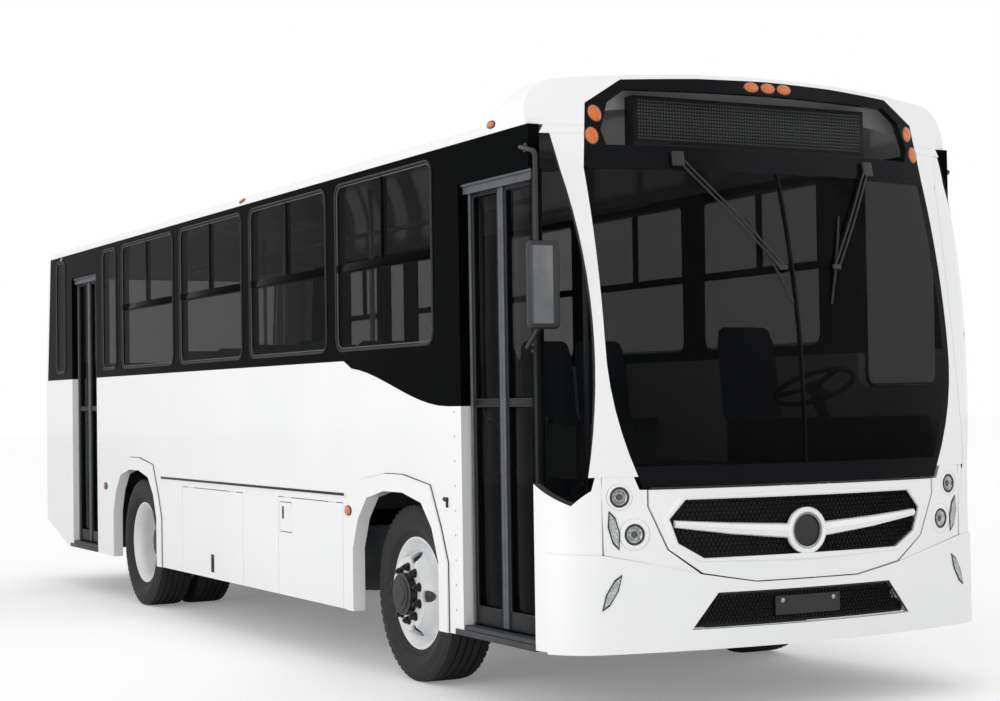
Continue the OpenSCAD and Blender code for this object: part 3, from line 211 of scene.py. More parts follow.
# Acrylic lamp lenses: saturated colour, glossy over moulded ribs
amberLens = makeMaterial("amberAcrylicLens", {
    "colours": ("#c25a08", "#db7416"), "cloudMm": 12, "roughness": (0.08, 0.16), "grainMm": 5, "bumpMm": 0.6,
    "bumpStrength": 0.5, "shader": {"Coat Weight": 0.5, "Subsurface Weight": 0.1}})
redLens = makeMaterial("redAcrylicLens", {
    "colours": ("#7d0a0a", "#a01212"), "cloudMm": 12, "roughness": (0.08, 0.16), "grainMm": 5, "bumpMm": 0.6,
    "bumpStrength": 0.5, "shader": {"Coat Weight": 0.5, "Subsurface Weight": 0.1}})
# Clear polycarbonate, faintly grey
clearLens = makeMaterial("clearPolycarbonateLens", {
    "colours": ("#d8dde0", "#e6eaec"), "cloudMm": 20, "roughness": (0.04, 0.1),
    "shader": {"Alpha": 0.3, "IOR": 1.58}})
# Chromed reflector behind the mirror glass: a sharp, bright reflection
mirrorMetal = makeMaterial("vacuumChromedReflector", {
    "colours": ("#d2d5d7", "#dfe2e4"), "cloudMm": 15, "roughness": (0.06, 0.14), "shader": {"Metallic": 1.0}})
# Dark moulded rims round the lamps, half matt
darkBezel = makeMaterial("darkLampBezel", {
    "colours": ("#151618", "#1e2022"), "cloudMm": 30, "roughness": (0.3, 0.4), "grainMm": 2, "bumpMm": 0.05,
    "bumpStrength": 0.1, "shader": {}})
# Hard-coated clear cover of the headlamps, nearly unseen
lampCover = makeMaterial("clearLampCover", {"colours": ("#c9ced2", "#d6dadd"), "cloudMm": 20,
                                            "roughness": (0.03, 0.07), "shader": {"Alpha": 0.06, "IOR": 1.58}})
# Smoked glass of the projector eyes, dark with a sharp glint
projectorGlass = makeMaterial("smokedProjectorGlass", {
    "colours": ("#191c20", "#23272c"), "cloudMm": 15, "roughness": (0.02, 0.05), "shader": {"IOR": 1.5}})
# Satin-brushed chrome of the thin rim round the grille's disc
satinChrome = makeMaterial("satinBrushedChrome", {
    "colours": ("#8b8e91", "#9a9da0"), "cloudMm": 18, "roughness": (0.2, 0.3), "shader": {"Metallic": 1.0}})
# Aluminised lamp bowls with painted reflections: bright and dark patches in the colour stand in for the facets'
# reflections
lampBowlPaintedReflections = makeMaterial("aluminisedBowlPaintedReflections", {
    "colours": ("#6d7174", "#ffffff"), "cloudMm": 14, "roughness": (0.15, 0.25), "shader": {"Metallic": 0.25}})
# Fluted clear lenses: fine ribs break up the light
flutedLens = makeMaterial("flutedLampLens", {
    "colours": ("#7d8184", "#d4d7d9"), "cloudMm": 9, "roughness": (0.12, 0.2), "grainMm": 4, "bumpMm": 0.6,
    "bumpStrength": 0.5, "shader": {}})
# Unlit diodes: cloudy grey epoxy
signDots = makeMaterial("unlitDiodeEpoxy", {
    "colours": ("#6a6d70", "#7a7d80"), "cloudMm": 20, "roughness": (0.3, 0.45), "grainMm": 2, "bumpMm": 0.1,
    "bumpStrength": 0.2, "shader": {}})
# Satin grey lacquer on the mirror housings' backs
mirrorBack = makeMaterial("satinGreyLacquer", {
    "colours": ("#55585b", "#636669"), "cloudMm": 120, "roughness": (0.2, 0.3), "grainMm": 3, "bumpMm": 0.05,
    "bumpStrength": 0.1, "shader": {"Coat Weight": 0.4, "Coat Roughness": 0.08}})
# Black paint on the door leaves, duller than the band
doorFrame = makeMaterial("blackDoorFramePaint", {
    "colours": ("#17181a", "#1f2123"), "cloudMm": 90, "roughness": (0.35, 0.48), "grainMm": 4, "bumpMm": 0.08,
    "bumpStrength": 0.15, "shader": {"Specular IOR Level": 0.15}})

dressing = {
    bodyPaint: ("wall_right wall_left roof rear_wall front_mask front_dome lamp_panels front_bumper side_trim "
                "service_flap tank_flap filler_door hood front_hatch rear_hatch"),
    bandLacquer: "band_right band_left", fasciaGelcoat: "front_fascia",
    tintedGlass: "body_glass quarter_glass", screenGlass: "front_glass",
    blackAbs: "bumper_grille hood_grille destination_sign mirrors wipers dashboard steering_wheel",
    clearLens: "headlamps", amberLens: "marker_lamps", redLens: "tail_lamps",
    chassisBlack: ("chassis_frame floor_bearers front_axle rear_axle leaf_springs drive_shaft "
                   "knuckle_left knuckle_right tie_rod"),
    castIron: "engine", darkBezel: "radiator", tankAluminium: "tanks",
    floorVinyl: "floor wheel_housings stepwells", seatPlastic: "seats", railPaint: "handrails",
    doorFrame: "front_door_fore front_door_aft rear_door_fore rear_door_aft",
    wheelEnamel: "rim_fl rim_fr rim_rl rim_rr", tyreRubber: "tyre_fl tyre_fr tyre_rl tyre_rr"}
for material, names in dressing.items():
    for name in names.split():
        shown = nodes[name]
        shown.data.materials.clear()
        shown.data.materials.append(material)
        for face in shown.data.polygons:
            face.use_smooth = True
        weld = shown.modifiers.new("join", "WELD")
        weld.merge_threshold = 0.00002
        split = shown.modifiers.new("creases", "EDGE_SPLIT")
        split.split_angle = math.radians(32)
signPane = nodes["front_glass"].data
signPane.materials.append(signGlass)
for face in signPane.polygons:
    if face.center.z > 2.65:
        face.material_index = 1
print("solids dressed")


# Studio: pale floor, even white surroundings and two broad soft lamps
studio = {"floor": "#fbfbfb", "floorReach": 90, "worldStrength": 0.80,
          "lamps": (((6.5, -13.0, 4.2), 8.0, 440), ((11.0, 6.0, 5.0), 6.0, 60)), "floorLift": 0.2}


def setStudio(settings):
    world = bpy.data.worlds.new("studioWorld")
    bpy.context.scene.world = world
    world.use_nodes = True
    tree = world.node_tree
    path = addNode(tree, "ShaderNodeLightPath").outputs
    seen = path["Is Camera Ray"]
    for other in ("Is Glossy Ray", "Is Transmission Ray"):
        seen = addNode(tree, "ShaderNodeMath", {"operation": "MAXIMUM"}, {0: seen, 1: path[other]}).outputs[0]
    strength = addNode(tree, "ShaderNodeMapRange", {"To Min": settings["worldStrength"], "To Max": 1.0},
                       {"Value": seen})
    tree.links.new(strength.outputs["Result"], tree.nodes["Background"].inputs["Strength"])
    tree.nodes["Background"].inputs["Color"].default_value = (1, 1, 1, 1)
    for place, width, power in settings["lamps"]:
        data = bpy.data.lights.new("softLamp", "AREA")
        data.shape, data.size, data.energy = "DISK", width, power
        lamp = bpy.data.objects.new("softLamp", data)
        aim = (Vector((0.5, 0, 1.2)) - Vector(place)).to_track_quat("-Z", "Y")
        lamp.matrix_world = Matrix.Translation(place) @ aim.to_matrix().to_4x4()
        bpy.context.collection.objects.link(lamp)
    bm = bmesh.new()
    bmesh.ops.create_grid(bm, x_segments=1, y_segments=1, size=settings["floorReach"])
    mesh = bpy.data.meshes.new("studioFloor")
    bm.to_mesh(mesh)
    bm.free()
    floor = bpy.data.objects.new("studioFloor", mesh)
    bpy.context.collection.objects.link(floor)
    material = makeMaterial("paleStudioFloor", {
        "colours": (settings["floor"], settings["floor"]), "cloudMm": 4000, "roughness": (0.9, 0.95),
        "shader": {"Specular IOR Level": 0.0, "Emission Color": (1, 1, 1, 1)}})
    tree = material.node_tree
    path = addNode(tree, "ShaderNodeLightPath").outputs["Is Camera Ray"]
    lift = addNode(tree, "ShaderNodeMath", {"operation": "MULTIPLY", 1: settings["floorLift"]}, {0: path})
    tree.links.new(lift.outputs[0], tree.nodes["Principled BSDF"].inputs["Emission Strength"])
    mesh.materials.append(material)
    bpy.context.scene.view_settings.view_transform = "Standard"


setStudio(studio)


# Shapes shared by the pieces below
def finishPiece(name, bm, material, body, creaseDegrees=35):
    bmesh.ops.recalc_face_normals(bm, faces=bm.faces)
    mesh = bpy.data.meshes.new(name)
    bm.to_mesh(mesh)
    bm.free()
    for face in mesh.polygons:
        face.use_smooth = True
    mesh.set_sharp_from_angle(angle=math.radians(creaseDegrees))
    mesh.materials.append(material)
    piece = bpy.data.objects.new(name, mesh)
    bpy.context.collection.objects.link(piece)
    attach(piece, body)
    return piece


def addBlock(bm, low, high, edge=0.0, segments=2, turn=None):
    low, high = Vector(low), Vector(high)
    place = Matrix.Translation((low + high) / 2) @ Matrix.Diagonal((high - low).to_4d())
    made = bmesh.ops.create_cube(bm, size=1, matrix=place)["verts"]
    if edge:
        rims = list({e for v in made for e in v.link_edges})
        cut = bmesh.ops.bevel(bm, geom=rims, offset=edge, segments=segments, affect="EDGES", profile=0.5,
                              material=-1)
        made = list({v for f in cut["faces"] for v in f.verts})
    if turn:
        bmesh.ops.transform(bm, matrix=turn, verts=made)


def addRod(bm, start, end, radius, sides=12, tip=None):
    start, end = Vector(start), Vector(end)
    along = end - start
    place = Matrix.Translation((start + end) / 2) @ along.to_track_quat("Z", "Y").to_matrix().to_4x4()
    bmesh.ops.create_cone(bm, cap_ends=True, segments=sides, radius1=radius, radius2=radius if tip is None else tip,
                          depth=along.length, matrix=place)


def newVerts(made):
    return [v for v in made["geom"] if isinstance(v, bmesh.types.BMVert)]


# Turns a profile of (radius, distance along the axis) round an axis through centre
def addTurned(bm, profile, centre, axis, steps=48):
    axis, centre = Vector(axis).normalized(), Vector(centre)
    side = axis.orthogonal().normalized()
    points = [bm.verts.new(centre + side * r + axis * a) for r, a in profile]
    edges = [bm.edges.new(pair) for pair in zip(points, points[1:])]
    bmesh.ops.spin(bm, geom=points + edges, cent=centre, axis=axis, angle=math.tau, steps=steps, use_merge=True)
    bmesh.ops.remove_doubles(bm, verts=bm.verts, dist=0.00002)


# Round bar along a path, through a curve that is turned into mesh
def addTube(bm, points, radius, closed=False, resolution=2):
    data = bpy.data.curves.new("path", "CURVE")
    data.dimensions, data.bevel_depth, data.bevel_resolution = "3D", radius, resolution
    data.use_fill_caps = not closed
    spline = data.splines.new("POLY")
    spline.points.add(len(points) - 1)
    for spot, place in zip(spline.points, points):
        spot.co = (*place, 1)
    spline.use_cyclic_u = closed
    holder = bpy.data.objects.new("path", data)
    mesh = bpy.data.meshes.new_from_object(holder)
    bm.from_mesh(mesh)
    bpy.data.objects.remove(holder)
    bpy.data.curves.remove(data)
    bpy.data.meshes.remove(mesh)


# Points round a rectangle with round corners, in a plane of constant y
def roundLoop(x, z, radius, y, arcSteps=6):
    loop = []
    for cx, cz, begin in ((x[1], z[1], 0), (x[0], z[1], 90), (x[0], z[0], 180), (x[1], z[0], 270)):
        cx += -radius if begin in (0, 270) else radius
        cz += -radius if begin in (0, 90) else radius
        for i in range(arcSteps + 1):
            a = math.radians(begin + 90 * i / arcSteps)
            loop.append((cx + radius * math.cos(a), y, cz + radius * math.sin(a)))
    return loop


# Front face: arc in plan at every height, with a windscreen that leans back on a long radius
frontShape = {"planCentre": 0.530, "faceX": 4.700, "screenRadius": 4.6, "low": 1.150, "high": 2.605, "lean": 0.185,
              "foreheadLean": 0.17}


def frontX(z):
    s = frontShape
    if z <= s["low"]:
        return s["faceX"]
    if z > s["high"]:
        return s["faceX"] - s["lean"] - (z - s["high"]) * s["foreheadLean"]
    rise = s["high"] - s["low"]
    chord = math.hypot(rise, s["lean"])
    reach = math.sqrt(s["screenRadius"] ** 2 - chord ** 2 / 4)
    arcX = s["faceX"] - s["lean"] / 2 - reach * rise / chord
    arcZ = (s["high"] + s["low"]) / 2 - reach * s["lean"] / chord
    return arcX + math.sqrt(s["screenRadius"] ** 2 - (z - arcZ) ** 2)


def frontPoint(y, z, out=0.0):
    reach = frontX(z) - frontShape["planCentre"] + out
    return Vector((frontShape["planCentre"] + math.sqrt(reach ** 2 - y * y), y, z))


# Frame on the front face: local X across to the bus's left, local Y up the face, local Z outwards
def frontFrame(y, z, out=0.0, roll=0.0):
    across = (frontPoint(y + 0.01, z) - frontPoint(y - 0.01, z)).normalized()
    up = (frontPoint(y, z + 0.01) - frontPoint(y, z - 0.01)).normalized()
    outward = across.cross(up).normalized()
    up = outward.cross(across)
    turn = Matrix((across, up, outward)).transposed().to_4x4()
    turn = turn @ Matrix.Rotation(math.radians(roll), 4, "Z")
    return Matrix.Translation(frontPoint(y, z) + outward * out) @ turn


# Tyres: ribbed road tread, square shoulder, bulged wall with moulded rings
tyreShape = {"radius": 0.4779, "halfWidth": 0.1375, "bead": 0.3045, "groove": 0.0105, "grooveDepth": 0.012,
             "grooves": (-0.066, -0.022, 0.022, 0.066), "steps": 120, "lugs": 60}
axles = {"frontX": 2.750, "rearX": -1.970, "height": 0.478, "frontTrack": 1.040, "rearTrack": 0.935, "twin": 0.322,
         "offset": 0.161}


def tyreProfile(s):
    half, r, bead = s["halfWidth"], s["radius"], s["bead"]
    wall = [(bead, 0.1015), (bead + 0.012, 0.112), (bead + 0.022, 0.1175), (bead + 0.026, 0.1155),
            (bead + 0.032, 0.122), (bead + 0.055, 0.1315), (bead + 0.085, half), (bead + 0.089, half - 0.0025),
            (bead + 0.094, half - 0.0005), (bead + 0.118, 0.1335), (bead + 0.122, 0.131), (bead + 0.128, 0.1315),
            (r - 0.03, 0.1265), (r - 0.014, 0.1205), (r - 0.004, 0.112), (r - 0.0008, 0.1)]
    tread = []
    for g in s["grooves"]:
        w = s["groove"] / 2
        tread += [(r, g - w), (r - s["grooveDepth"], g - w * 0.6), (r - s["grooveDepth"], g + w * 0.6), (r, g + w)]
    inner = [(bead, -0.1015)]
    right = [(rr, -a) for rr, a in wall]
    return right + tread + wall[::-1] + inner


def makeTyres(s, spots):
    for name, body, centres in spots:
        bm = bmesh.new()
        for centre in centres:
            addTurned(bm, tyreProfile(s), centre, (0, 1, 0), s["steps"])
            for side in (-1, 1):
                for i in range(s["lugs"]):      # shoulder blocks between the cross cuts
                    angle = math.tau * i / s["lugs"]
                    spin = Matrix.Translation(centre) @ Matrix.Rotation(angle, 4, "Y")
                    addBlock(bm, (-0.0165, side * 0.1135 - 0.0065, s["radius"] - 0.0225),
                             (0.0165, side * 0.1135 + 0.0065, s["radius"] - 0.004), turn=spin)
        piece = finishPiece("tread_" + name, bm, tyreRubber, body, 28)
        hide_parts(name)


h = axles["height"]
pairs = [s * axles["twin"] / 2 for s in (-1, 1)]
makeTyres(tyreShape, [
    ("tyre_fl", "wheel_fl", [(axles["frontX"], axles["frontTrack"], h)]),
    ("tyre_fr", "wheel_fr", [(axles["frontX"], -axles["frontTrack"], h)]),
    ("tyre_rl", "wheel_rl", [(axles["rearX"], axles["rearTrack"] + p, h) for p in pairs]),
    ("tyre_rr", "wheel_rr", [(axles["rearX"], -axles["rearTrack"] + p, h) for p in pairs])])
print("tyres turned")


# Wheel nuts on a 285.75 mm circle, hub with its cap, all black as on the bus
hubShape = {"nuts": 10, "circle": 0.142875, "nutRadius": 0.0185, "nutHeight": 0.026}


def makeHubs(s, spots):
    for name, body, centre, side, face, hubEnd in spots:
        bm = bmesh.new()
        centre = Vector(centre)
        out = Vector((0, side, 0))
        for i in range(s["nuts"]):
            a = math.tau * (i + 0.5) / s["nuts"]
            spot = centre + Vector((math.cos(a), 0, math.sin(a))) * s["circle"] + out * face
            addRod(bm, spot, spot + out * 0.005, s["nutRadius"] * 1.35, 20)
            addRod(bm, spot + out * 0.005, spot + out * s["nutHeight"], s["nutRadius"], 6)
            addRod(bm, spot + out * s["nutHeight"], spot + out * (s["nutHeight"] + 0.012), 0.011, 12, 0.009)
        cap = [(0.1125, face + 0.0005), (0.1125, face + 0.004), (0.1115, hubEnd - 0.002), (0.1085, hubEnd + 0.0015),
               (0.088, hubEnd + 0.002), (0.086, hubEnd + 0.007), (0.06, hubEnd + 0.0075), (0.056, hubEnd + 0.012),
               (0.02, hubEnd + 0.0125), (0.0, hubEnd + 0.0125)]
        addTurned(bm, cap, centre, out, 48)
        finishPiece("hub_" + name, bm, blackAbs, body, 30)


f, r, o = axles["frontTrack"], axles["rearTrack"], axles["offset"]
makeHubs(hubShape, [
    ("fl", "wheel_fl", (axles["frontX"], f, h), 1, o, o + 0.045),
    ("fr", "wheel_fr", (axles["frontX"], -f, h), -1, o, o + 0.045),
    ("rl", "wheel_rl", (axles["rearX"], r, h), 1, 0.014, 0.170),
    ("rr", "wheel_rr", (axles["rearX"], -r, h), -1, 0.014, 0.170)])
print("hubs fitted")


# Side windows: rubber glazing strip, sliding-pane frames with a transom and a centre bar
windowShape = {"z": (1.812, 2.768), "radius": 0.07, "transom": 2.285, "bar": 0.022, "strip": 0.0075, "side": 1.275,
               "wide": [(-2.290 + i * 1.422, -1.018 + i * 1.422) for i in range(4)],
               "narrow": [(-2.834, -2.440), (-4.270, -3.950)], "leftExtra": [(-3.710, -2.990)],
               "driver": ((3.595, 4.235), (1.560, 2.768))}


def makeWindows(s):
    for side, name in ((-1, "right"), (1, "left")):
        y = side * s["side"]
        strips, bars, frames = bmesh.new(), bmesh.new(), bmesh.new()
        opens = [(x, s["z"]) for x in s["wide"] + s["narrow"]]
        if side > 0:
            opens += [(x, s["z"]) for x in s["leftExtra"]] + [s["driver"]]
        for x, z in opens:
            addTube(strips, roundLoop(x, z, s["radius"], y + side * 0.001), s["strip"], True)
            addTube(frames, roundLoop((x[0] + 0.014, x[1] - 0.014), (z[0] + 0.014, z[1] - 0.014),
                                      s["radius"] - 0.014, y - side * 0.004), 0.004, True)
        for x in s["wide"] + (s["leftExtra"] if side > 0 else []):
            middle = (x[0] + x[1]) / 2
            face = sorted((y - side * 0.0055, y - side * 0.0005))
            addBlock(bars, (x[0] + 0.004, face[0], s["transom"] - s["bar"]),
                     (x[1] - 0.004, face[1], s["transom"] + s["bar"]), 0.0015)
            addBlock(bars, (middle - 0.014, face[0], s["transom"] + s["bar"]),
                     (middle + 0.014, face[1], s["z"][1] - 0.006), 0.0015)
            inner = sorted((y - side * 0.032, y - side * 0.0145))
            for low, high in ((x[0] + 0.02, x[0] + 0.05), (middle - 0.015, middle + 0.015),
                              (x[1] - 0.05, x[1] - 0.02)):
                addBlock(bars, (low, inner[0], s["transom"]), (high, inner[1], s["z"][1] - 0.02), 0.003)
            addBlock(bars, (x[0] + 0.02, inner[0], s["transom"] - 0.03),
                     (x[1] - 0.02, inner[1], s["transom"] + 0.015), 0.003)
        finishPiece("glazing_strips_" + name, strips, gasketRubber, "body")
        finishPiece("pane_lines_" + name, frames, edgeRubber, "body")
        finishPiece("sliding_frames_" + name, bars, bandLacquer, "body")


makeWindows(windowShape)
print("windows glazed")


# Doors: slim frames round tall panes, grey edge rubbers, slanted grab rail on each leaf
doorShape = {"front": (3.555, 4.295), "rear": (-3.750, -3.010), "post": 0.030, "leaf": 0.335, "y": -1.209,
             "half": 0.018, "z": (0.402, 2.590), "stile": 0.036, "topRail": 0.050, "bottomRail": 0.085,
             "midRail": (1.488, 1.516), "pane": 0.003, "bead": 0.004}


def makeLeaf(s, body, hinge, way):
    tip = hinge + way * s["leaf"]
    frame, panes, rubber, beads, rail = (bmesh.new() for _ in range(5))
    low, high = s["z"]
    back, face = s["y"] + s["half"], s["y"] - s["half"]
    ends = sorted((hinge, tip))
    inner = sorted((hinge + way * s["stile"], tip - way * s["stile"]))
    addRod(frame, (hinge, s["y"], 0.3905), (hinge, s["y"], 2.6045), s["half"], 24)
    for x in ((ends[0], inner[0]), (inner[1], ends[1])):
        addBlock(frame, (x[0], face, low), (x[1], back, high), 0.004, 3)
    for z in ((low, low + s["bottomRail"]), s["midRail"], (high - s["topRail"], high)):
        addBlock(frame, (inner[0] - 0.004, face + 0.002, z[0]), (inner[1] + 0.004, back - 0.002, z[1]), 0.004, 3)
    for z in ((low + s["bottomRail"], s["midRail"][0]), (s["midRail"][1], high - s["topRail"])):
        addBlock(panes, (inner[0] - 0.003, s["y"] - s["pane"], z[0] - 0.003),
                 (inner[1] + 0.003, s["y"] + s["pane"], z[1] + 0.003), 0.001)
        addTube(beads, roundLoop((inner[0] + 0.003, inner[1] - 0.003), (z[0] + 0.003, z[1] - 0.003), 0.012,
                                 face + 0.003), s["bead"], True)
    for a, b in ((tip - way * 0.022, tip + way * 0.0035), (hinge - way * 0.004, hinge + way * 0.020)):
        addBlock(rubber, (min(a, b), face - 0.006, low + 0.004), (max(a, b), face + 0.002, high - 0.004), 0.0025)
    a = Vector((hinge + way * 0.060, back + 0.045, 1.42))
    b = Vector((tip - way * 0.050, back + 0.045, 1.20))
    addTube(rail, [a - Vector((0, 0.045, 0)), a, b, b - Vector((0, 0.045, 0))], 0.011)
    piece = finishPiece(body + "_frame", frame, doorFrame, body)
    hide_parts(body)
    finishPiece(body + "_panes", panes, screenGlass, body)
    finishPiece(body + "_rubbers", rubber, edgeRubber, body)
    finishPiece(body + "_beads", beads, gasketRubber, body)
    finishPiece(body + "_rail", rail, aluminium, body)


def makeDoor(s, place):
    low, high = s[place]
    makeLeaf(s, place + "_door_aft", low + s["post"], 1)
    makeLeaf(s, place + "_door_fore", high - s["post"], -1)
    head = bmesh.new()
    addBlock(head, (low + 0.004, -1.262, 2.590), (high - 0.004, -1.234, 2.603), 0.002)
    addBlock(head, (low + 0.004, -1.250, 2.552), (high - 0.004, -1.238, 2.590), 0.001)
    finishPiece(place + "_door_header", head, edgeRubber, "body")
    sill = bmesh.new()
    addBlock(sill, (low - 0.09, -1.2795, 0.338), (high + 0.001, -1.230, 0.368), 0.004)
    for i in range(9):
        addBlock(sill, (low + 0.004, -1.262 + i * 0.005, 0.3902), (high - 0.004, -1.2595 + i * 0.005, 0.3925), 0.0)
    finishPiece(place + "_door_sill", sill, floorVinyl, "body")


makeDoor(doorShape, "front")
makeDoor(doorShape, "rear")
print("doors dressed")


# Oval marker lamps: acrylic dome in a thin dark foot
def addOval(lens, foot, place, wide, tall, deep):
    bmesh.ops.create_uvsphere(lens, u_segments=24, v_segments=12, radius=1,
                              matrix=place @ Matrix.Diagonal((wide / 2, tall / 2, deep, 1)))
    bmesh.ops.create_cone(foot, cap_ends=True, segments=28, radius1=1, radius2=0.94, depth=0.006,
                          matrix=place @ Matrix.Diagonal((wide / 2 + 0.005, tall / 2 + 0.005, 1, 1)))


def sideFrame(x, z, side, out=0.0):
    turn = Matrix(((-side, 0, 0), (0, 0, side), (0, 1, 0))).to_4x4()
    return Matrix.Translation((x, side * (1.275 + out), z)) @ turn


frontLamps = {"side": ((0.946, 2.869, 24), (0.971, 2.760, 10)), "centre": (-0.098, 0.0, 0.098), "centreZ": 3.034,
              "wide": 0.086, "tall": 0.052, "deep": 0.012}
lens, foot = bmesh.new(), bmesh.new()
for side in (-1, 1):
    for y, z, roll in frontLamps["side"]:
        place = frontFrame(side * y, z, 0.002, 90 + side * -roll)
        addOval(lens, foot, place, frontLamps["wide"], frontLamps["tall"] + 0.012, frontLamps["deep"])
for y in frontLamps["centre"]:
    addOval(lens, foot, frontFrame(y, frontLamps["centreZ"], 0.002), frontLamps["wide"], frontLamps["tall"],
            frontLamps["deep"])
finishPiece("forehead_lamp_lenses", lens, amberLens, "body")
finishPiece("forehead_lamp_feet", foot, darkBezel, "body")

sideLamps = {"amber": ((2.112, 0.901), (3.928, 2.855)), "red": ((-2.774, 0.883), (-4.05, 2.785)),
             "shoulder": (0.297, 1.2245, 2.855)}
for colour, material, slot in (("amber", amberLens, "lamp_amber"), ("red", redLens, "lamp_red")):
    lens, foot = bmesh.new(), bmesh.new()
    for side in (-1, 1):
        for x, z in sideLamps[colour]:
            low = z < 2
            addOval(lens, foot, sideFrame(x, z, side, 0.003), 0.085 if low else 0.075, 0.05 if low else 0.03, 0.01)
        if colour == "amber":
            x, y, z = sideLamps["shoulder"]
            lean = Matrix.Translation((x, side * y, z)) @ Matrix.Rotation(math.radians(side * 45), 4, "X")
            addOval(lens, foot, lean @ sideFrame(0, 0, side, -1.272), 0.075, 0.034, 0.01)
    piece = finishPiece("side_lamp_lenses_" + colour, lens, material, "body")
    finishPiece("side_lamp_feet_" + colour, foot, darkBezel, "body")
    if colour == "amber":
        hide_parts("marker_lamps")

# Tail lamps: domed lenses in dark collars, and the rubber round the leaning rear window
tailShape = {"x": -4.710, "y": 1.050, "z": (0.900, 1.080, 1.260, 1.440), "radius": 0.0694, "belt": 1.752,
             "lean": 6.5, "window": ((-0.900, 0.900), (1.900, 2.680), 0.07)}
red, amber, clear, collar = (bmesh.new() for _ in range(4))
for side in (-1, 1):
    for z, lens in zip(tailShape["z"], (clear, amber, red, red)):
        centre, r = (tailShape["x"] + 0.012, side * tailShape["y"], z), tailShape["radius"]
        addTurned(lens, [(0.0, 0.0115), (0.03, 0.0105), (r - 0.014, 0.0065), (r - 0.009, 0.003),
                         (r - 0.009, -0.004), (0.0, -0.004)], centre, (-1, 0, 0), 40)
        addTurned(collar, [(r - 0.0086, -0.004), (r - 0.0086, 0.008), (r - 0.004, 0.0112), (r - 0.0006, 0.009),
                           (r - 0.0006, -0.004), (r - 0.0086, -0.004)], centre, (-1, 0, 0), 40)
piece = finishPiece("tail_lamp_lenses_red", red, redLens, "body", 50)
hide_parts("tail_lamps")
finishPiece("tail_lamp_lenses_amber", amber, amberLens, "body", 50)
finishPiece("tail_lamp_lenses_clear", clear, flutedLens, "body", 50)
finishPiece("tail_lamp_collars", collar, darkBezel, "body", 50)
rubber = bmesh.new()
lean = Matrix.Rotation(math.radians(tailShape["lean"]), 4, "Y")
lean = Matrix.Translation((tailShape["x"], 0, tailShape["belt"])) @ lean
loop = roundLoop(*tailShape["window"], 0.0)
addTube(rubber, [lean @ Vector((0.001, x, z - tailShape["belt"])) for x, y, z in loop], 0.010, True)
finishPiece("rear_window_rubber", rubber, gasketRubber, "body")
print("marker and tail lamps fitted")


# Headlamps: white collar in the panel, dark trim ring, bowl with painted facet reflections and a projector, domed
# clear lens
headlampShape = {"spots": ((0.981, 1.058, 0.062, 0.045), (0.912, 0.884, 0.074, 0.047))}
collars, bowls, rings, lenses, eyes = (bmesh.new() for _ in range(5))
for side in (-1, 1):
    for y, z, hole, r in headlampShape["spots"]:
        place = frontFrame(side * y, z)
        centre, out = place.translation, place.to_3x3().col[2]
        addTurned(collars, [(hole - 0.0006, -0.014), (hole - 0.0006, -0.0005), (hole - 0.004, 0.0012),
                            (r + 0.004, 0.0015), (r + 0.0015, -0.002), (r + 0.0015, -0.014),
                            (hole - 0.0006, -0.014)], centre, out, 48)
        addTurned(rings, [(r - 0.008, -0.009), (r - 0.0075, 0.001), (r - 0.003, 0.0035), (r + 0.0012, 0.001),
                          (r + 0.0012, -0.009), (r - 0.008, -0.009)], centre, out, 40)
        addTurned(bowls, [(0.0, -0.0225), (0.016, -0.022), (r - 0.018, -0.017), (r - 0.008, -0.003),
                          (r - 0.008, -0.006), (r - 0.016, -0.019), (0.016, -0.024), (0.0, -0.0245)], centre, out,
                  40)
        addTurned(eyes, [(0.0, -0.004), (0.008, -0.005), (0.014, -0.009), (0.017, -0.0205), (0.0, -0.021)], centre,
                  out, 24)
        addTurned(bowls, [(0.0175, -0.020), (0.0175, -0.006), (0.0205, -0.005), (0.0215, -0.020), (0.0175, -0.020)],
                  centre, out, 32)
        addTurned(lenses, [(0.0, 0.0035), (0.02, 0.003), (r - 0.008, 0.001), (r - 0.0082, -0.001), (0.02, 0.001),
                           (0.0, 0.0015)], centre, out, 40)
piece = finishPiece("headlamp_lenses", lenses, lampCover, "body", 50)
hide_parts("headlamps")
finishPiece("headlamp_collars", collars, bodyPaint, "body", 40)
# The bowls' bright and dark patches are painted reflections, not real facets
finishPiece("headlamp_bowls", bowls, lampBowlPaintedReflections, "body", 50)
finishPiece("headlamp_rings", rings, darkBezel, "body", 40)
finishPiece("headlamp_eyes", eyes, projectorGlass, "body", 50)


# Flat plate with the given outline, from one height to another in its own frame
def addPlate(bm, outline, low, high, place):
    corners = [bm.verts.new(place @ Vector((u, v, low))) for u, v in outline]
    rim = [bm.edges.new((corners[i - 1], corners[i])) for i in range(len(corners))]
    face = bmesh.ops.contextual_create(bm, geom=rim)["faces"]
    lifted = bmesh.ops.extrude_face_region(bm, geom=face + rim)
    bmesh.ops.translate(bm, vec=place.to_3x3() @ Vector((0, 0, high - low)), verts=newVerts(lifted))


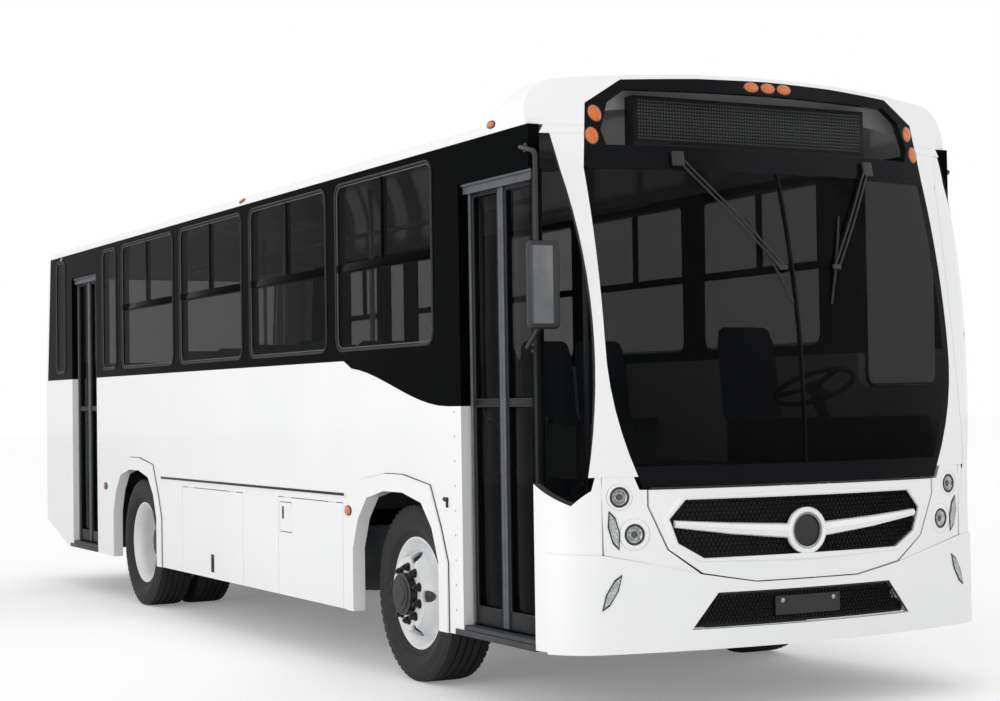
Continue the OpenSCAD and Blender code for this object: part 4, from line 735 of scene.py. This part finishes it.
# Slanted leaf-shaped lamps: turn signals in the lamp panels and running lamps in the bumper
slantedLamps = {"turn": ((-1.034, 0.997), (-0.986, 0.814), 0.050, 0.0),
                "running": ((-0.976, 0.703), (-1.075, 0.538), 0.044, 0.010),
                "leaf": ((0.0, 0.5), (0.45, 0.30), (0.5, -0.12), (0.0, -0.5), (-0.45, -0.30), (-0.5, 0.12))}
cases, glasses = bmesh.new(), bmesh.new()
for name in ("turn", "running"):
    low, high, wide, out = slantedLamps[name]
    for side in (-1, 1):
        y, z = (low[0] + high[0]) / 2, (low[1] + high[1]) / 2
        tilt = math.degrees(math.atan2(high[0] - low[0], -(high[1] - low[1])))
        tall = math.hypot(high[0] - low[0], high[1] - low[1])
        place = frontFrame(side * -y, z, out, -side * tilt)
        hand = -side if name == "turn" else side
        leaf = [(hand * u * wide, v * tall) for u, v in slantedLamps["leaf"]]
        addPlate(cases, leaf, -0.002, 0.003, place)
        addPlate(glasses, [(u * 0.74, v * 0.86) for u, v in leaf], 0.0028, 0.0048, place)
finishPiece("slanted_lamp_cases", cases, darkBezel, "body")
finishPiece("slanted_lamp_lenses", glasses, flutedLens, "body")
print("lamps fitted")


# Grille flap: fine honeycomb behind a raised white surround, tapered bar and blank ring
grilleShape = {"corners": ((0.571, 0.762), (0.701, 0.836), (0.742, 0.949), (0.661, 1.037)), "cell": 0.0125,
               "back": -0.026, "cellDepth": 0.010, "surround": 0.034, "ring": (0.0, 0.869), "ringRadius": 0.112,
               "bar": ((0.100, 0.871, 0.036), (0.420, 0.895, 0.028), (0.712, 0.925, 0.018))}


def insideGrille(y, z, margin):
    (y0, z0), (y1, z1), (y2, z2), (y3, z3) = grilleShape["corners"]
    y = abs(y) + margin
    if not z0 + margin < z < z3 - margin:
        return False
    side = y0 + (y1 - y0) * (z - z0) / (z1 - z0) if z < z1 else y1 + (y2 - y1) * (z - z1) / (z2 - z1)
    return y < (side if z < z2 else y2 + (y3 - y2) * (z - z2) / (z3 - z2))


# Honeycomb cells as short tapered six-sided tubes laid on the face
def addHoneycomb(bm, inside, low, high, reach, cell, back, deep):
    rows = int((high - low) / (cell * 0.866)) + 1
    for j in range(rows):
        z = low + j * cell * 0.866
        count = int(reach / cell) + 1
        for i in range(-count, count + 1):
            y = (i + 0.5 * (j % 2)) * cell
            if inside(y, z):
                bmesh.ops.create_cone(bm, cap_ends=False, segments=6, radius1=cell * 0.5, radius2=cell * 0.575,
                                      depth=deep, matrix=frontFrame(y, z, back + deep / 2, 30))


# Band of the face between an outline and the same outline grown outwards, lifted off it
def addSurround(bm, loop, grow, out, lift):
    middleY = sum(y for y, z in loop) / len(loop)
    middleZ = sum(z for y, z in loop) / len(loop)
    rings = []
    for g, o in ((0.0, out), (0.3, out + lift), (0.75, out + lift), (1.0, out)):
        ring = []
        for y, z in loop:
            away = Vector((y - middleY, (z - middleZ) * 2.2)).normalized() * grow * g
            ring.append(bm.verts.new(frontPoint(y + away[0], z + away[1], o)))
        rings.append([bm.edges.new((ring[i - 1], ring[i])) for i in range(len(ring))])
    for a, b in zip(rings, rings[1:] + rings[:1]):
        bmesh.ops.bridge_loops(bm, edges=a + b)


def makeGrille(s):
    mesh, back, white, chrome = (bmesh.new() for _ in range(4))
    addHoneycomb(mesh, lambda y, z: insideGrille(y, z, 0.006), s["corners"][0][1], s["corners"][3][1], 0.75,
                 s["cell"] * 1.9, s["back"], s["cellDepth"])
    half = list(s["corners"])
    loop = half + [(-y, z) for y, z in half[::-1]]
    fine = []
    for (ya, za), (yb, zb) in zip(loop, loop[1:] + loop[:1]):
        steps = max(1, int(math.hypot(yb - ya, zb - za) / 0.06))
        fine += [(ya + (yb - ya) * i / steps, za + (zb - za) * i / steps) for i in range(steps)]
    plate = [back.verts.new(frontPoint(y, z, s["back"] - 0.003)) for y, z in fine]
    rim = [back.edges.new((plate[i - 1], plate[i])) for i in range(len(plate))]
    bmesh.ops.triangle_fill(back, edges=rim, use_beauty=True)
    thick = bmesh.ops.extrude_face_region(back, geom=list(back.faces))
    bmesh.ops.translate(back, vec=(-0.003, 0, 0), verts=newVerts(thick))
    addSurround(white, fine, s["surround"], -0.0005, 0.007)
    for side in (-1, 1):
        spots = [Vector(b) for b in s["bar"]]
        loops = []
        for i in range(13):
            t = i / 12 * (len(spots) - 1)
            k = min(int(t), len(spots) - 2)
            y, z, tall = spots[k].lerp(spots[k + 1], t - k)
            ring = [frontPoint(side * y, z + dz * tall, o)
                    for dz, o in ((-1, -0.020), (-0.8, -0.004), (0.0, 0.004), (0.8, -0.004), (1, -0.020))]
            ring = [white.verts.new(v) for v in ring]
            loops.append([white.edges.new((ring[j - 1], ring[j])) for j in range(len(ring))])
        for a, b in zip(loops, loops[1:]):
            bmesh.ops.bridge_loops(white, edges=a + b)
        for end in (loops[0], loops[-1]):
            bmesh.ops.contextual_create(white, geom=end)
    place = frontFrame(*s["ring"])
    centre, out = place.translation, place.to_3x3().col[2]
    r = s["ringRadius"]
    addTurned(white, [(r - 0.026, -0.020), (r - 0.025, 0.001), (r - 0.017, 0.007), (r - 0.007, 0.007), (r, -0.001),
                      (r, -0.020), (r - 0.026, -0.020)], centre, out, 56)
    addTurned(chrome, [(r - 0.038, -0.012), (r - 0.035, -0.003), (r - 0.0268, -0.001), (r - 0.0268, -0.018),
                       (r - 0.038, -0.018), (r - 0.038, -0.012)], centre, out, 48)
    disc = bmesh.new()
    addTurned(disc, [(0.0, -0.007), (0.030, -0.0075), (r - 0.0384, -0.011), (r - 0.0384, -0.018), (0.0, -0.018)],
              centre, out, 48)
    finishPiece("grille_blank_disc", disc, blackAbs, "hood", 40)
    seal = bmesh.new()
    addTube(seal, [frontPoint(-0.835 + i * 0.0835, 1.0945, -0.0005) for i in range(21)], 0.0048)
    finishPiece("hood_top_seal", seal, gasketRubber, "body")
    piece = finishPiece("grille_honeycomb", mesh, blackAbs, "hood", 40)
    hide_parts("hood_grille")
    finishPiece("grille_backing", back, gasketRubber, "hood")
    finishPiece("grille_surround", white, bodyPaint, "hood", 30)
    finishPiece("grille_disc_rim", chrome, satinChrome, "hood", 40)


makeGrille(grilleShape)
print("grille fitted")


# Lower grille in the bumper: finer mesh, blank centre plate, bolts and a bright lower edge
lowerGrille = {"top": (0.507, 0.600), "foot": (0.645, 0.433), "cell": 0.021, "back": -0.016,
               "plate": (0.190, 0.475, 0.565)}


def makeLowerGrille(s):
    mesh, solid, bright = (bmesh.new() for _ in range(3))

    def inside(y, z):
        t = (z - s["foot"][1]) / (s["top"][1] - s["foot"][1])
        edge = s["foot"][0] + (s["top"][0] - s["foot"][0]) * t
        return abs(y) < edge - 0.016 and s["foot"][1] + 0.012 < z < s["top"][1] - 0.010
    addHoneycomb(mesh, inside, s["foot"][1] + 0.012, s["top"][1], 0.64, s["cell"], s["back"], 0.010)
    wide, low, high = s["plate"]
    for i in range(8):
        y0, y1 = -wide + i * wide / 4, -wide + (i + 1) * wide / 4
        middle = frontFrame((y0 + y1) / 2, (low + high) / 2, 0.0)
        addBlock(solid, (-wide / 8 - 0.0005, -(high - low) / 2, -0.018),
                 (wide / 8 + 0.0005, (high - low) / 2, -0.004), 0.0, 1, middle)
    for y in (-0.150, 0.150):
        place = frontFrame(y, high - 0.022)
        centre, out = place.translation, place.to_3x3().col[2]
        addTurned(bright, [(0.0, 0.001), (0.008, 0.0), (0.011, -0.002), (0.011, -0.006), (0.0, -0.006)], centre,
                  out, 16)
    steps = 24
    foot = [frontPoint(-s["foot"][0] + 2 * s["foot"][0] * i / steps, s["foot"][1] + 0.004, 0.004)
            for i in range(steps + 1)]
    addTube(bright, foot, 0.004)
    edge = [frontPoint(y, z, 0.0) for y, z in ((-s["foot"][0], s["foot"][1] + 0.004),
                                               (-s["top"][0], s["top"][1] - 0.004))]
    frame = bmesh.new()
    addTube(frame, edge, 0.006)
    addTube(frame, [Vector((v.x, -v.y, v.z)) for v in edge], 0.006)
    addTube(frame, [frontPoint(-s["top"][0] + 2 * s["top"][0] * i / steps, s["top"][1] - 0.004, 0.0)
                    for i in range(steps + 1)], 0.006)
    behind = bmesh.new()
    for i in range(16):
        y = -0.62 + (i + 0.5) * 1.24 / 16
        t = 0.0 if abs(y) < s["top"][0] else (abs(y) - s["top"][0]) / (s["foot"][0] - s["top"][0])
        high = s["top"][1] - (s["top"][1] - s["foot"][1]) * t - 0.006
        middle = frontFrame(y, (s["foot"][1] + 0.006 + high) / 2, s["back"] - 0.006)
        addBlock(behind, (-0.0392, -(high - s["foot"][1] - 0.006) / 2, -0.003),
                 (0.0392, (high - s["foot"][1] - 0.006) / 2, 0.0), 0.0, 1, middle)
    finishPiece("bumper_mesh_backing", behind, gasketRubber, "body")
    piece = finishPiece("bumper_mesh", mesh, blackAbs, "body", 40)
    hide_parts("bumper_grille")
    finishPiece("bumper_mesh_frame", frame, blackAbs, "body")
    finishPiece("bumper_centre_plate", solid, blackAbs, "body")
    finishPiece("bumper_bright_parts", bright, aluminium, "body")


makeLowerGrille(lowerGrille)
print("bumper grille fitted")


# Wipers: pivot box, two parallel arms and a blade on a bridge, one each side of the divider
wiperShape = {"right": ((-0.560, 2.660), (-0.075, 2.130), (-0.235, 2.380), (-0.030, 1.960)),
              "left": ((0.580, 2.660), (0.255, 2.140), (0.330, 2.400), (0.205, 1.960)), "spread": 0.024,
              "arm": 0.0055}


def makeWipers(s):
    arms, blades = bmesh.new(), bmesh.new()
    for pivot, end, bladeTop, bladeFoot in (s["right"], s["left"]):
        addBlock(arms, (-0.032, -0.045, 0.003), (0.032, 0.030, 0.026), 0.006, 3, frontFrame(*pivot))
        addBlock(arms, (-0.026, -0.012, 0.012), (0.026, 0.012, 0.024), 0.003, 2, frontFrame(*end))
        across = Vector((end[1] - pivot[1], pivot[0] - end[0])).normalized() * s["spread"] / 2
        for way in (-1, 1):
            path = []
            for i in range(9):
                y = pivot[0] + (end[0] - pivot[0]) * i / 8 + way * across[0]
                z = pivot[1] + (end[1] - pivot[1]) * i / 8 + way * across[1]
                path.append(frontPoint(y, z, 0.020))
            addTube(arms, path, s["arm"])
        path = [frontPoint(bladeTop[0] + (bladeFoot[0] - bladeTop[0]) * i / 10,
                           bladeTop[1] + (bladeFoot[1] - bladeTop[1]) * i / 10, 0.007) for i in range(11)]
        addTube(blades, path, 0.0055)
        addTube(arms, [p + Vector((0.006, 0, 0)) for p in path[2:9]], 0.004)
    piece = finishPiece("wiper_arms", arms, blackAbs, "body")
    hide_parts("wipers")
    finishPiece("wiper_blades", blades, gasketRubber, "body")


makeWipers(wiperShape)
print("wipers fitted")


# Plan section of the left front corner: arc of the face, then a round corner into the side
cornerShape = {"turn": (1.060, 1.225), "half": 1.275, "jamb": 4.2955, "belt": 1.838, "z": (1.016, 2.768),
               "columns": 10, "rows": 36}


def cornerPoint(girth, z, out):
    s = cornerShape
    r = frontX(z) - frontShape["planCentre"]
    share = min(1, max(0, (z - frontShape["low"]) / (frontShape["high"] - frontShape["low"])))
    turn = s["turn"][0] + (s["turn"][1] - s["turn"][0]) * share
    if girth <= turn:
        return Vector((frontShape["planCentre"] + (r + out) * math.sqrt(1 - (girth / r) ** 2),
                       (r + out) * girth / r, z))
    sine = turn / r
    c = (s["half"] - turn) / (1 - sine)
    middle = frontShape["planCentre"] + (r - c) * math.sqrt(1 - sine ** 2)
    angle = math.asin(sine) + (girth - turn) / c
    over = max(0, angle - math.pi / 2) * c
    angle = min(angle, math.pi / 2)
    return Vector((middle + (c + out) * math.cos(angle) - over, s["half"] - c + (c + out) * math.sin(angle), z))


def makeCorner(s):
    bm = bmesh.new()
    bmesh.ops.create_grid(bm, x_segments=s["columns"], y_segments=s["rows"], size=0.5)
    for v in bm.verts:
        across, z = v.co.x + 0.5, s["z"][0] + (v.co.y + 0.5) * (s["z"][1] - s["z"][0])
        above, below = max(0, z - 1.836) / 0.915, max(0, 1.836 - max(z, 1.146)) / 0.740
        inner = 1.074 + 0.090 * above ** 2 + 0.060 * below ** 2 - (0.03 if z < 1.146 else 0)
        outer = inner + 0.5
        while cornerPoint(outer, z, 0).x < s["jamb"]:
            outer -= 0.002
        if z > s["belt"]:
            outer = inner + 0.62 * (outer - inner)
        v.co = cornerPoint(inner + across * (outer - inner), z, 0.0012)
    made = bmesh.ops.extrude_face_region(bm, geom=bm.faces[:])
    bmesh.ops.translate(bm, vec=(-0.0006, -0.0006, 0), verts=newVerts(made))
    finishPiece("left_corner_cover", bm, bodyPaint, "body")


makeCorner(cornerShape)
print("left corner covered")


# Outside mirrors: bent tube from the header, rounded housing, lower stay; the driver's one sits further back
mirrorShape = {"tube": 0.011, "z": (1.836, 2.242), "feet": ((4.270, 2.700), (4.317, 1.756)),
               "right": (4.460, (-1.398, -1.238)), "left": (4.130, (-1.398, -1.302))}


def makeMirrors(s):
    tubes, shells, faces, glasses = (bmesh.new() for _ in range(4))
    for name in ("left", "right"):
        x, (y0, y1) = s[name]
        (xh, zh), (xl, zl) = s["feet"]
        way = math.copysign(1, x - xh)
        upper = [(xh, -1.2755, zh), (xh, -1.300, zh), (xh + way * 0.015, -1.312, zh - 0.002),
                 (x - 0.020 - way * 0.015, -1.320, 2.664), (x - 0.020, -1.320, 2.645), (x - 0.020, -1.320, 2.235),
                 (x - 0.015, -1.320, 2.222), (x + 0.015, -1.330, 2.215)]
        lower = [(xl, -1.2755, zl), (xl, -1.300, zl), (xl + way * 0.013, -1.313, zl + 0.002),
                 (x + 0.010, -1.330, 1.842), (x + 0.025, -1.332, 1.860)]
        for path in (upper, lower):
            addTube(tubes, path, s["tube"], resolution=4)
            addTurned(tubes, [(0.0, 0.006), (0.018, 0.006), (0.022, 0.004), (0.022, 0.0005), (0.0, 0.0005)],
                      (path[0][0], -1.275, path[0][2]), (0, -1, 0), 20)
        addBlock(shells, (x + 0.002, y0, s["z"][0]), (x + 0.068, y1, s["z"][1]), 0.026, 5)
        addBlock(faces, (x + 0.058, y0 + 0.010, s["z"][0] + 0.020), (x + 0.0695, y1 - 0.040, s["z"][1] - 0.020),
                 0.010, 4)
        addBlock(glasses, (x + 0.0005, y0 + 0.024, s["z"][0] + 0.026), (x + 0.006, y1 - 0.024, s["z"][1] - 0.026),
                 0.002, 2)
        if name == "left":
            for bm in (tubes, shells, faces, glasses):
                bmesh.ops.scale(bm, vec=(1, -1, 1), verts=bm.verts[:])
                bmesh.ops.reverse_faces(bm, faces=bm.faces[:])
    piece = finishPiece("mirror_housings", shells, blackAbs, "body")
    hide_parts("mirrors")
    finishPiece("mirror_tubes", tubes, blackAbs, "body")
    finishPiece("mirror_backs", faces, mirrorBack, "body")
    finishPiece("mirror_glasses", glasses, mirrorMetal, "body")


makeMirrors(mirrorShape)
print("mirrors fitted")


# Side fittings: rub rail insert, skirt latch, arch beads, post catch, filler slot and door-post screws
sideFittings = {"rubRail": ((-1.305, 2.085), 0.9915, 0.008), "latch": (-0.219, 0.441), "slot": (1.095, 0.845),
                "catch": (3.372, 0.998), "archHalf": 0.645, "archTop": 1.125, "bead": 0.0035,
                "postScrews": (3.478, (0.46, 1.46, 9)), "rearPostScrews": (-2.955, (0.46, 1.66, 9))}


def makeSideFittings(s):
    insert, latch, screws = bmesh.new(), bmesh.new(), bmesh.new()
    (x0, x1), z, tall = s["rubRail"]
    for side in (-1, 1):
        face = sorted((side * 1.288, side * 1.2905))
        addBlock(insert, (x0, face[0], z - tall), (x1, face[1], z + tall), 0.001)
    x, z = s["latch"]
    addBlock(latch, (x - 0.026, -1.2795, z - 0.060), (x + 0.026, -1.2745, z + 0.060), 0.002, 2)
    addBlock(latch, (x - 0.014, -1.2835, z - 0.034), (x + 0.014, -1.279, z + 0.038), 0.002, 2)
    finishPiece("service_flap_latch", latch, blackAbs, "service_flap")
    h, t = s["archHalf"], s["archTop"]
    beads = bmesh.new()
    rise = [(h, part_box("side_trim")[0][2] + s["bead"]), (h, 0.690), (h - 0.075, 0.860), (h - 0.2, t - 0.045),
            (0.12, t)]
    for x in (axles["frontX"], axles["rearX"]):
        for side in (-1, 1):
            path = [(x - u, v) for u, v in rise] + [(x + u, v) for u, v in rise[::-1]]
            addTube(beads, [(u, side * 1.2765, v) for u, v in path], s["bead"])
    finishPiece("arch_beads", beads, gasketRubber, "body")
    x, z = s["catch"]
    catch = bmesh.new()
    addBlock(catch, (x - 0.028, -1.2785, z + 0.004), (x + 0.028, -1.2745, z + 0.026), 0.0015, 2)
    addBlock(catch, (x - 0.024, -1.2845, z + 0.009), (x + 0.026, -1.2780, z + 0.021), 0.002, 2)
    addBlock(catch, (x + 0.012, -1.2845, z - 0.026), (x + 0.026, -1.2745, z + 0.016), 0.002, 2)
    finishPiece("post_catch", catch, blackAbs, "body")
    x, z = s["slot"]
    slot = bmesh.new()
    addBlock(slot, (x - 0.012, -1.2775, z - 0.038), (x + 0.012, -1.2742, z + 0.038), 0.0012, 2)
    addBlock(slot, (x - 0.005, -1.2790, z - 0.026), (x + 0.005, -1.2772, z + 0.026), 0.0006, 2)
    finishPiece("filler_slot_handle", slot, blackAbs, "filler_door")
    (xs, (low, high, count)), (xr, (lowR, highR, countR)) = s["postScrews"], s["rearPostScrews"]
    spots = [(xs, low + i * (high - low) / (count - 1)) for i in range(count)]
    spots += [(xr, lowR + i * (highR - lowR) / (countR - 1)) for i in range(countR)]
    for x, z in spots:
        addTurned(screws, [(0.0, 0.0022), (0.004, 0.0018), (0.006, 0.0004), (0.006, -0.001), (0.0, -0.001)],
                  (x, -1.275, z), (0, -1, 0), 12)
    finishPiece("rub_rail_insert", insert, gasketRubber, "body")
    finishPiece("post_screws", screws, aluminium, "body")


makeSideFittings(sideFittings)
print("side fittings fitted")


# Moulded seat shells: dished pan and back in one sheet, on two tube legs with floor plates
seatShape = {"path": ((0.198, 0.404), (0.190, 0.424), (0.160, 0.431), (0.080, 0.424), (-0.080, 0.418),
                      (-0.140, 0.428), (-0.172, 0.470), (-0.186, 0.560), (-0.208, 0.720), (-0.230, 0.860),
                      (-0.245, 0.935), (-0.256, 0.956)), "half": (0.175, 0.188, 0.195, 0.198, 0.198, 0.196, 0.192,
                                                                  0.192, 0.194, 0.190, 0.172, 0.140), "dish": 0.010,
             "sheet": 0.008, "across": 10, "leg": 0.130, "tube": 0.015, "rows": (-0.900, 0.750, 4),
             "rowY": (-1.000, -0.585, 0.585, 1.000), "bench": (-0.900, -0.450, 0.0, 0.450, 0.900), "driverY": 0.700}


def makeSeats(s):
    low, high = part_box("seats")
    start, pitch, count = s["rows"]
    spots = [(start + i * pitch, y) for i in range(count) for y in s["rowY"]]
    spots += [(low[0] + 0.270, y) for y in s["bench"]] + [(high[0] - 0.200, s["driverY"])]
    shells, legs = bmesh.new(), bmesh.new()
    steps = len(s["path"])
    for x, y in spots:
        sheet = bmesh.ops.create_grid(shells, x_segments=steps - 1, y_segments=s["across"], size=1.0)["verts"]
        for v in sheet:
            i, side = round((v.co.x + 1) / 2 * (steps - 1)), v.co.y
            (px, pz), half = s["path"][i], s["half"][i]
            rise = s["dish"] * side * side
            back = min(1.0, max(0.0, (pz - 0.428) / 0.06))  # the dish turns from upwards to forwards
            v.co = (x + px + rise * back, y + side * half, low[2] + pz + rise * (1 - back) * (0.4 < pz < 0.44))
        for side in (-1, 1):
            foot = Vector((x, y + side * s["leg"], low[2]))
            addTube(legs, [foot + Vector((0, 0, h)) for h in (0.004, 0.2, 0.412)], s["tube"], resolution=3)
            addTurned(legs, [(0.0, 0.0), (0.019, 0.0), (0.019, 0.004), (0.016, 0.007), (0.0, 0.007)], foot,
                      (0, 0, 1), 16)
    bmesh.ops.recalc_face_normals(shells, faces=shells.faces[:])
    bmesh.ops.solidify(shells, geom=shells.faces[:], thickness=s["sheet"])
    piece = finishPiece("seat_shells", shells, seatPlastic, "body", 50)
    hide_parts("seats")
    finishPiece("seat_legs", legs, railPaint, "body", 50)


makeSeats(seatShape)
print("seats fitted")


# Destination sign: rows of dark diode dots behind the forehead glass, all unlit
signShape = {"low": (-0.680, 2.765), "high": (0.680, 2.965), "pitch": 0.0165, "x": 4.318}


def makeSign(s):
    dots, panel = bmesh.new(), bmesh.new()
    columns = int((s["high"][0] - s["low"][0]) / s["pitch"])
    rows = int((s["high"][1] - s["low"][1]) / s["pitch"])
    for i in range(columns):
        for j in range(rows):
            place = Matrix.Translation((s["x"], s["low"][0] + (i + 0.5) * s["pitch"],
                                        s["low"][1] + (j + 0.5) * s["pitch"]))
            bmesh.ops.create_cone(dots, cap_ends=True, segments=6, radius1=0.0055, radius2=0.004, depth=0.004,
                                  matrix=place @ Matrix.Rotation(math.radians(90), 4, "Y"))
    addBlock(panel, (s["x"] - 0.008, s["low"][0] - 0.012, s["low"][1] - 0.012),
             (s["x"] - 0.001, s["high"][0] + 0.012, s["high"][1] + 0.012), 0.002)
    finishPiece("sign_dots", dots, signDots, "body", 40)
    finishPiece("sign_panel", panel, blackAbs, "body")


makeSign(signShape)
print("sign fitted")
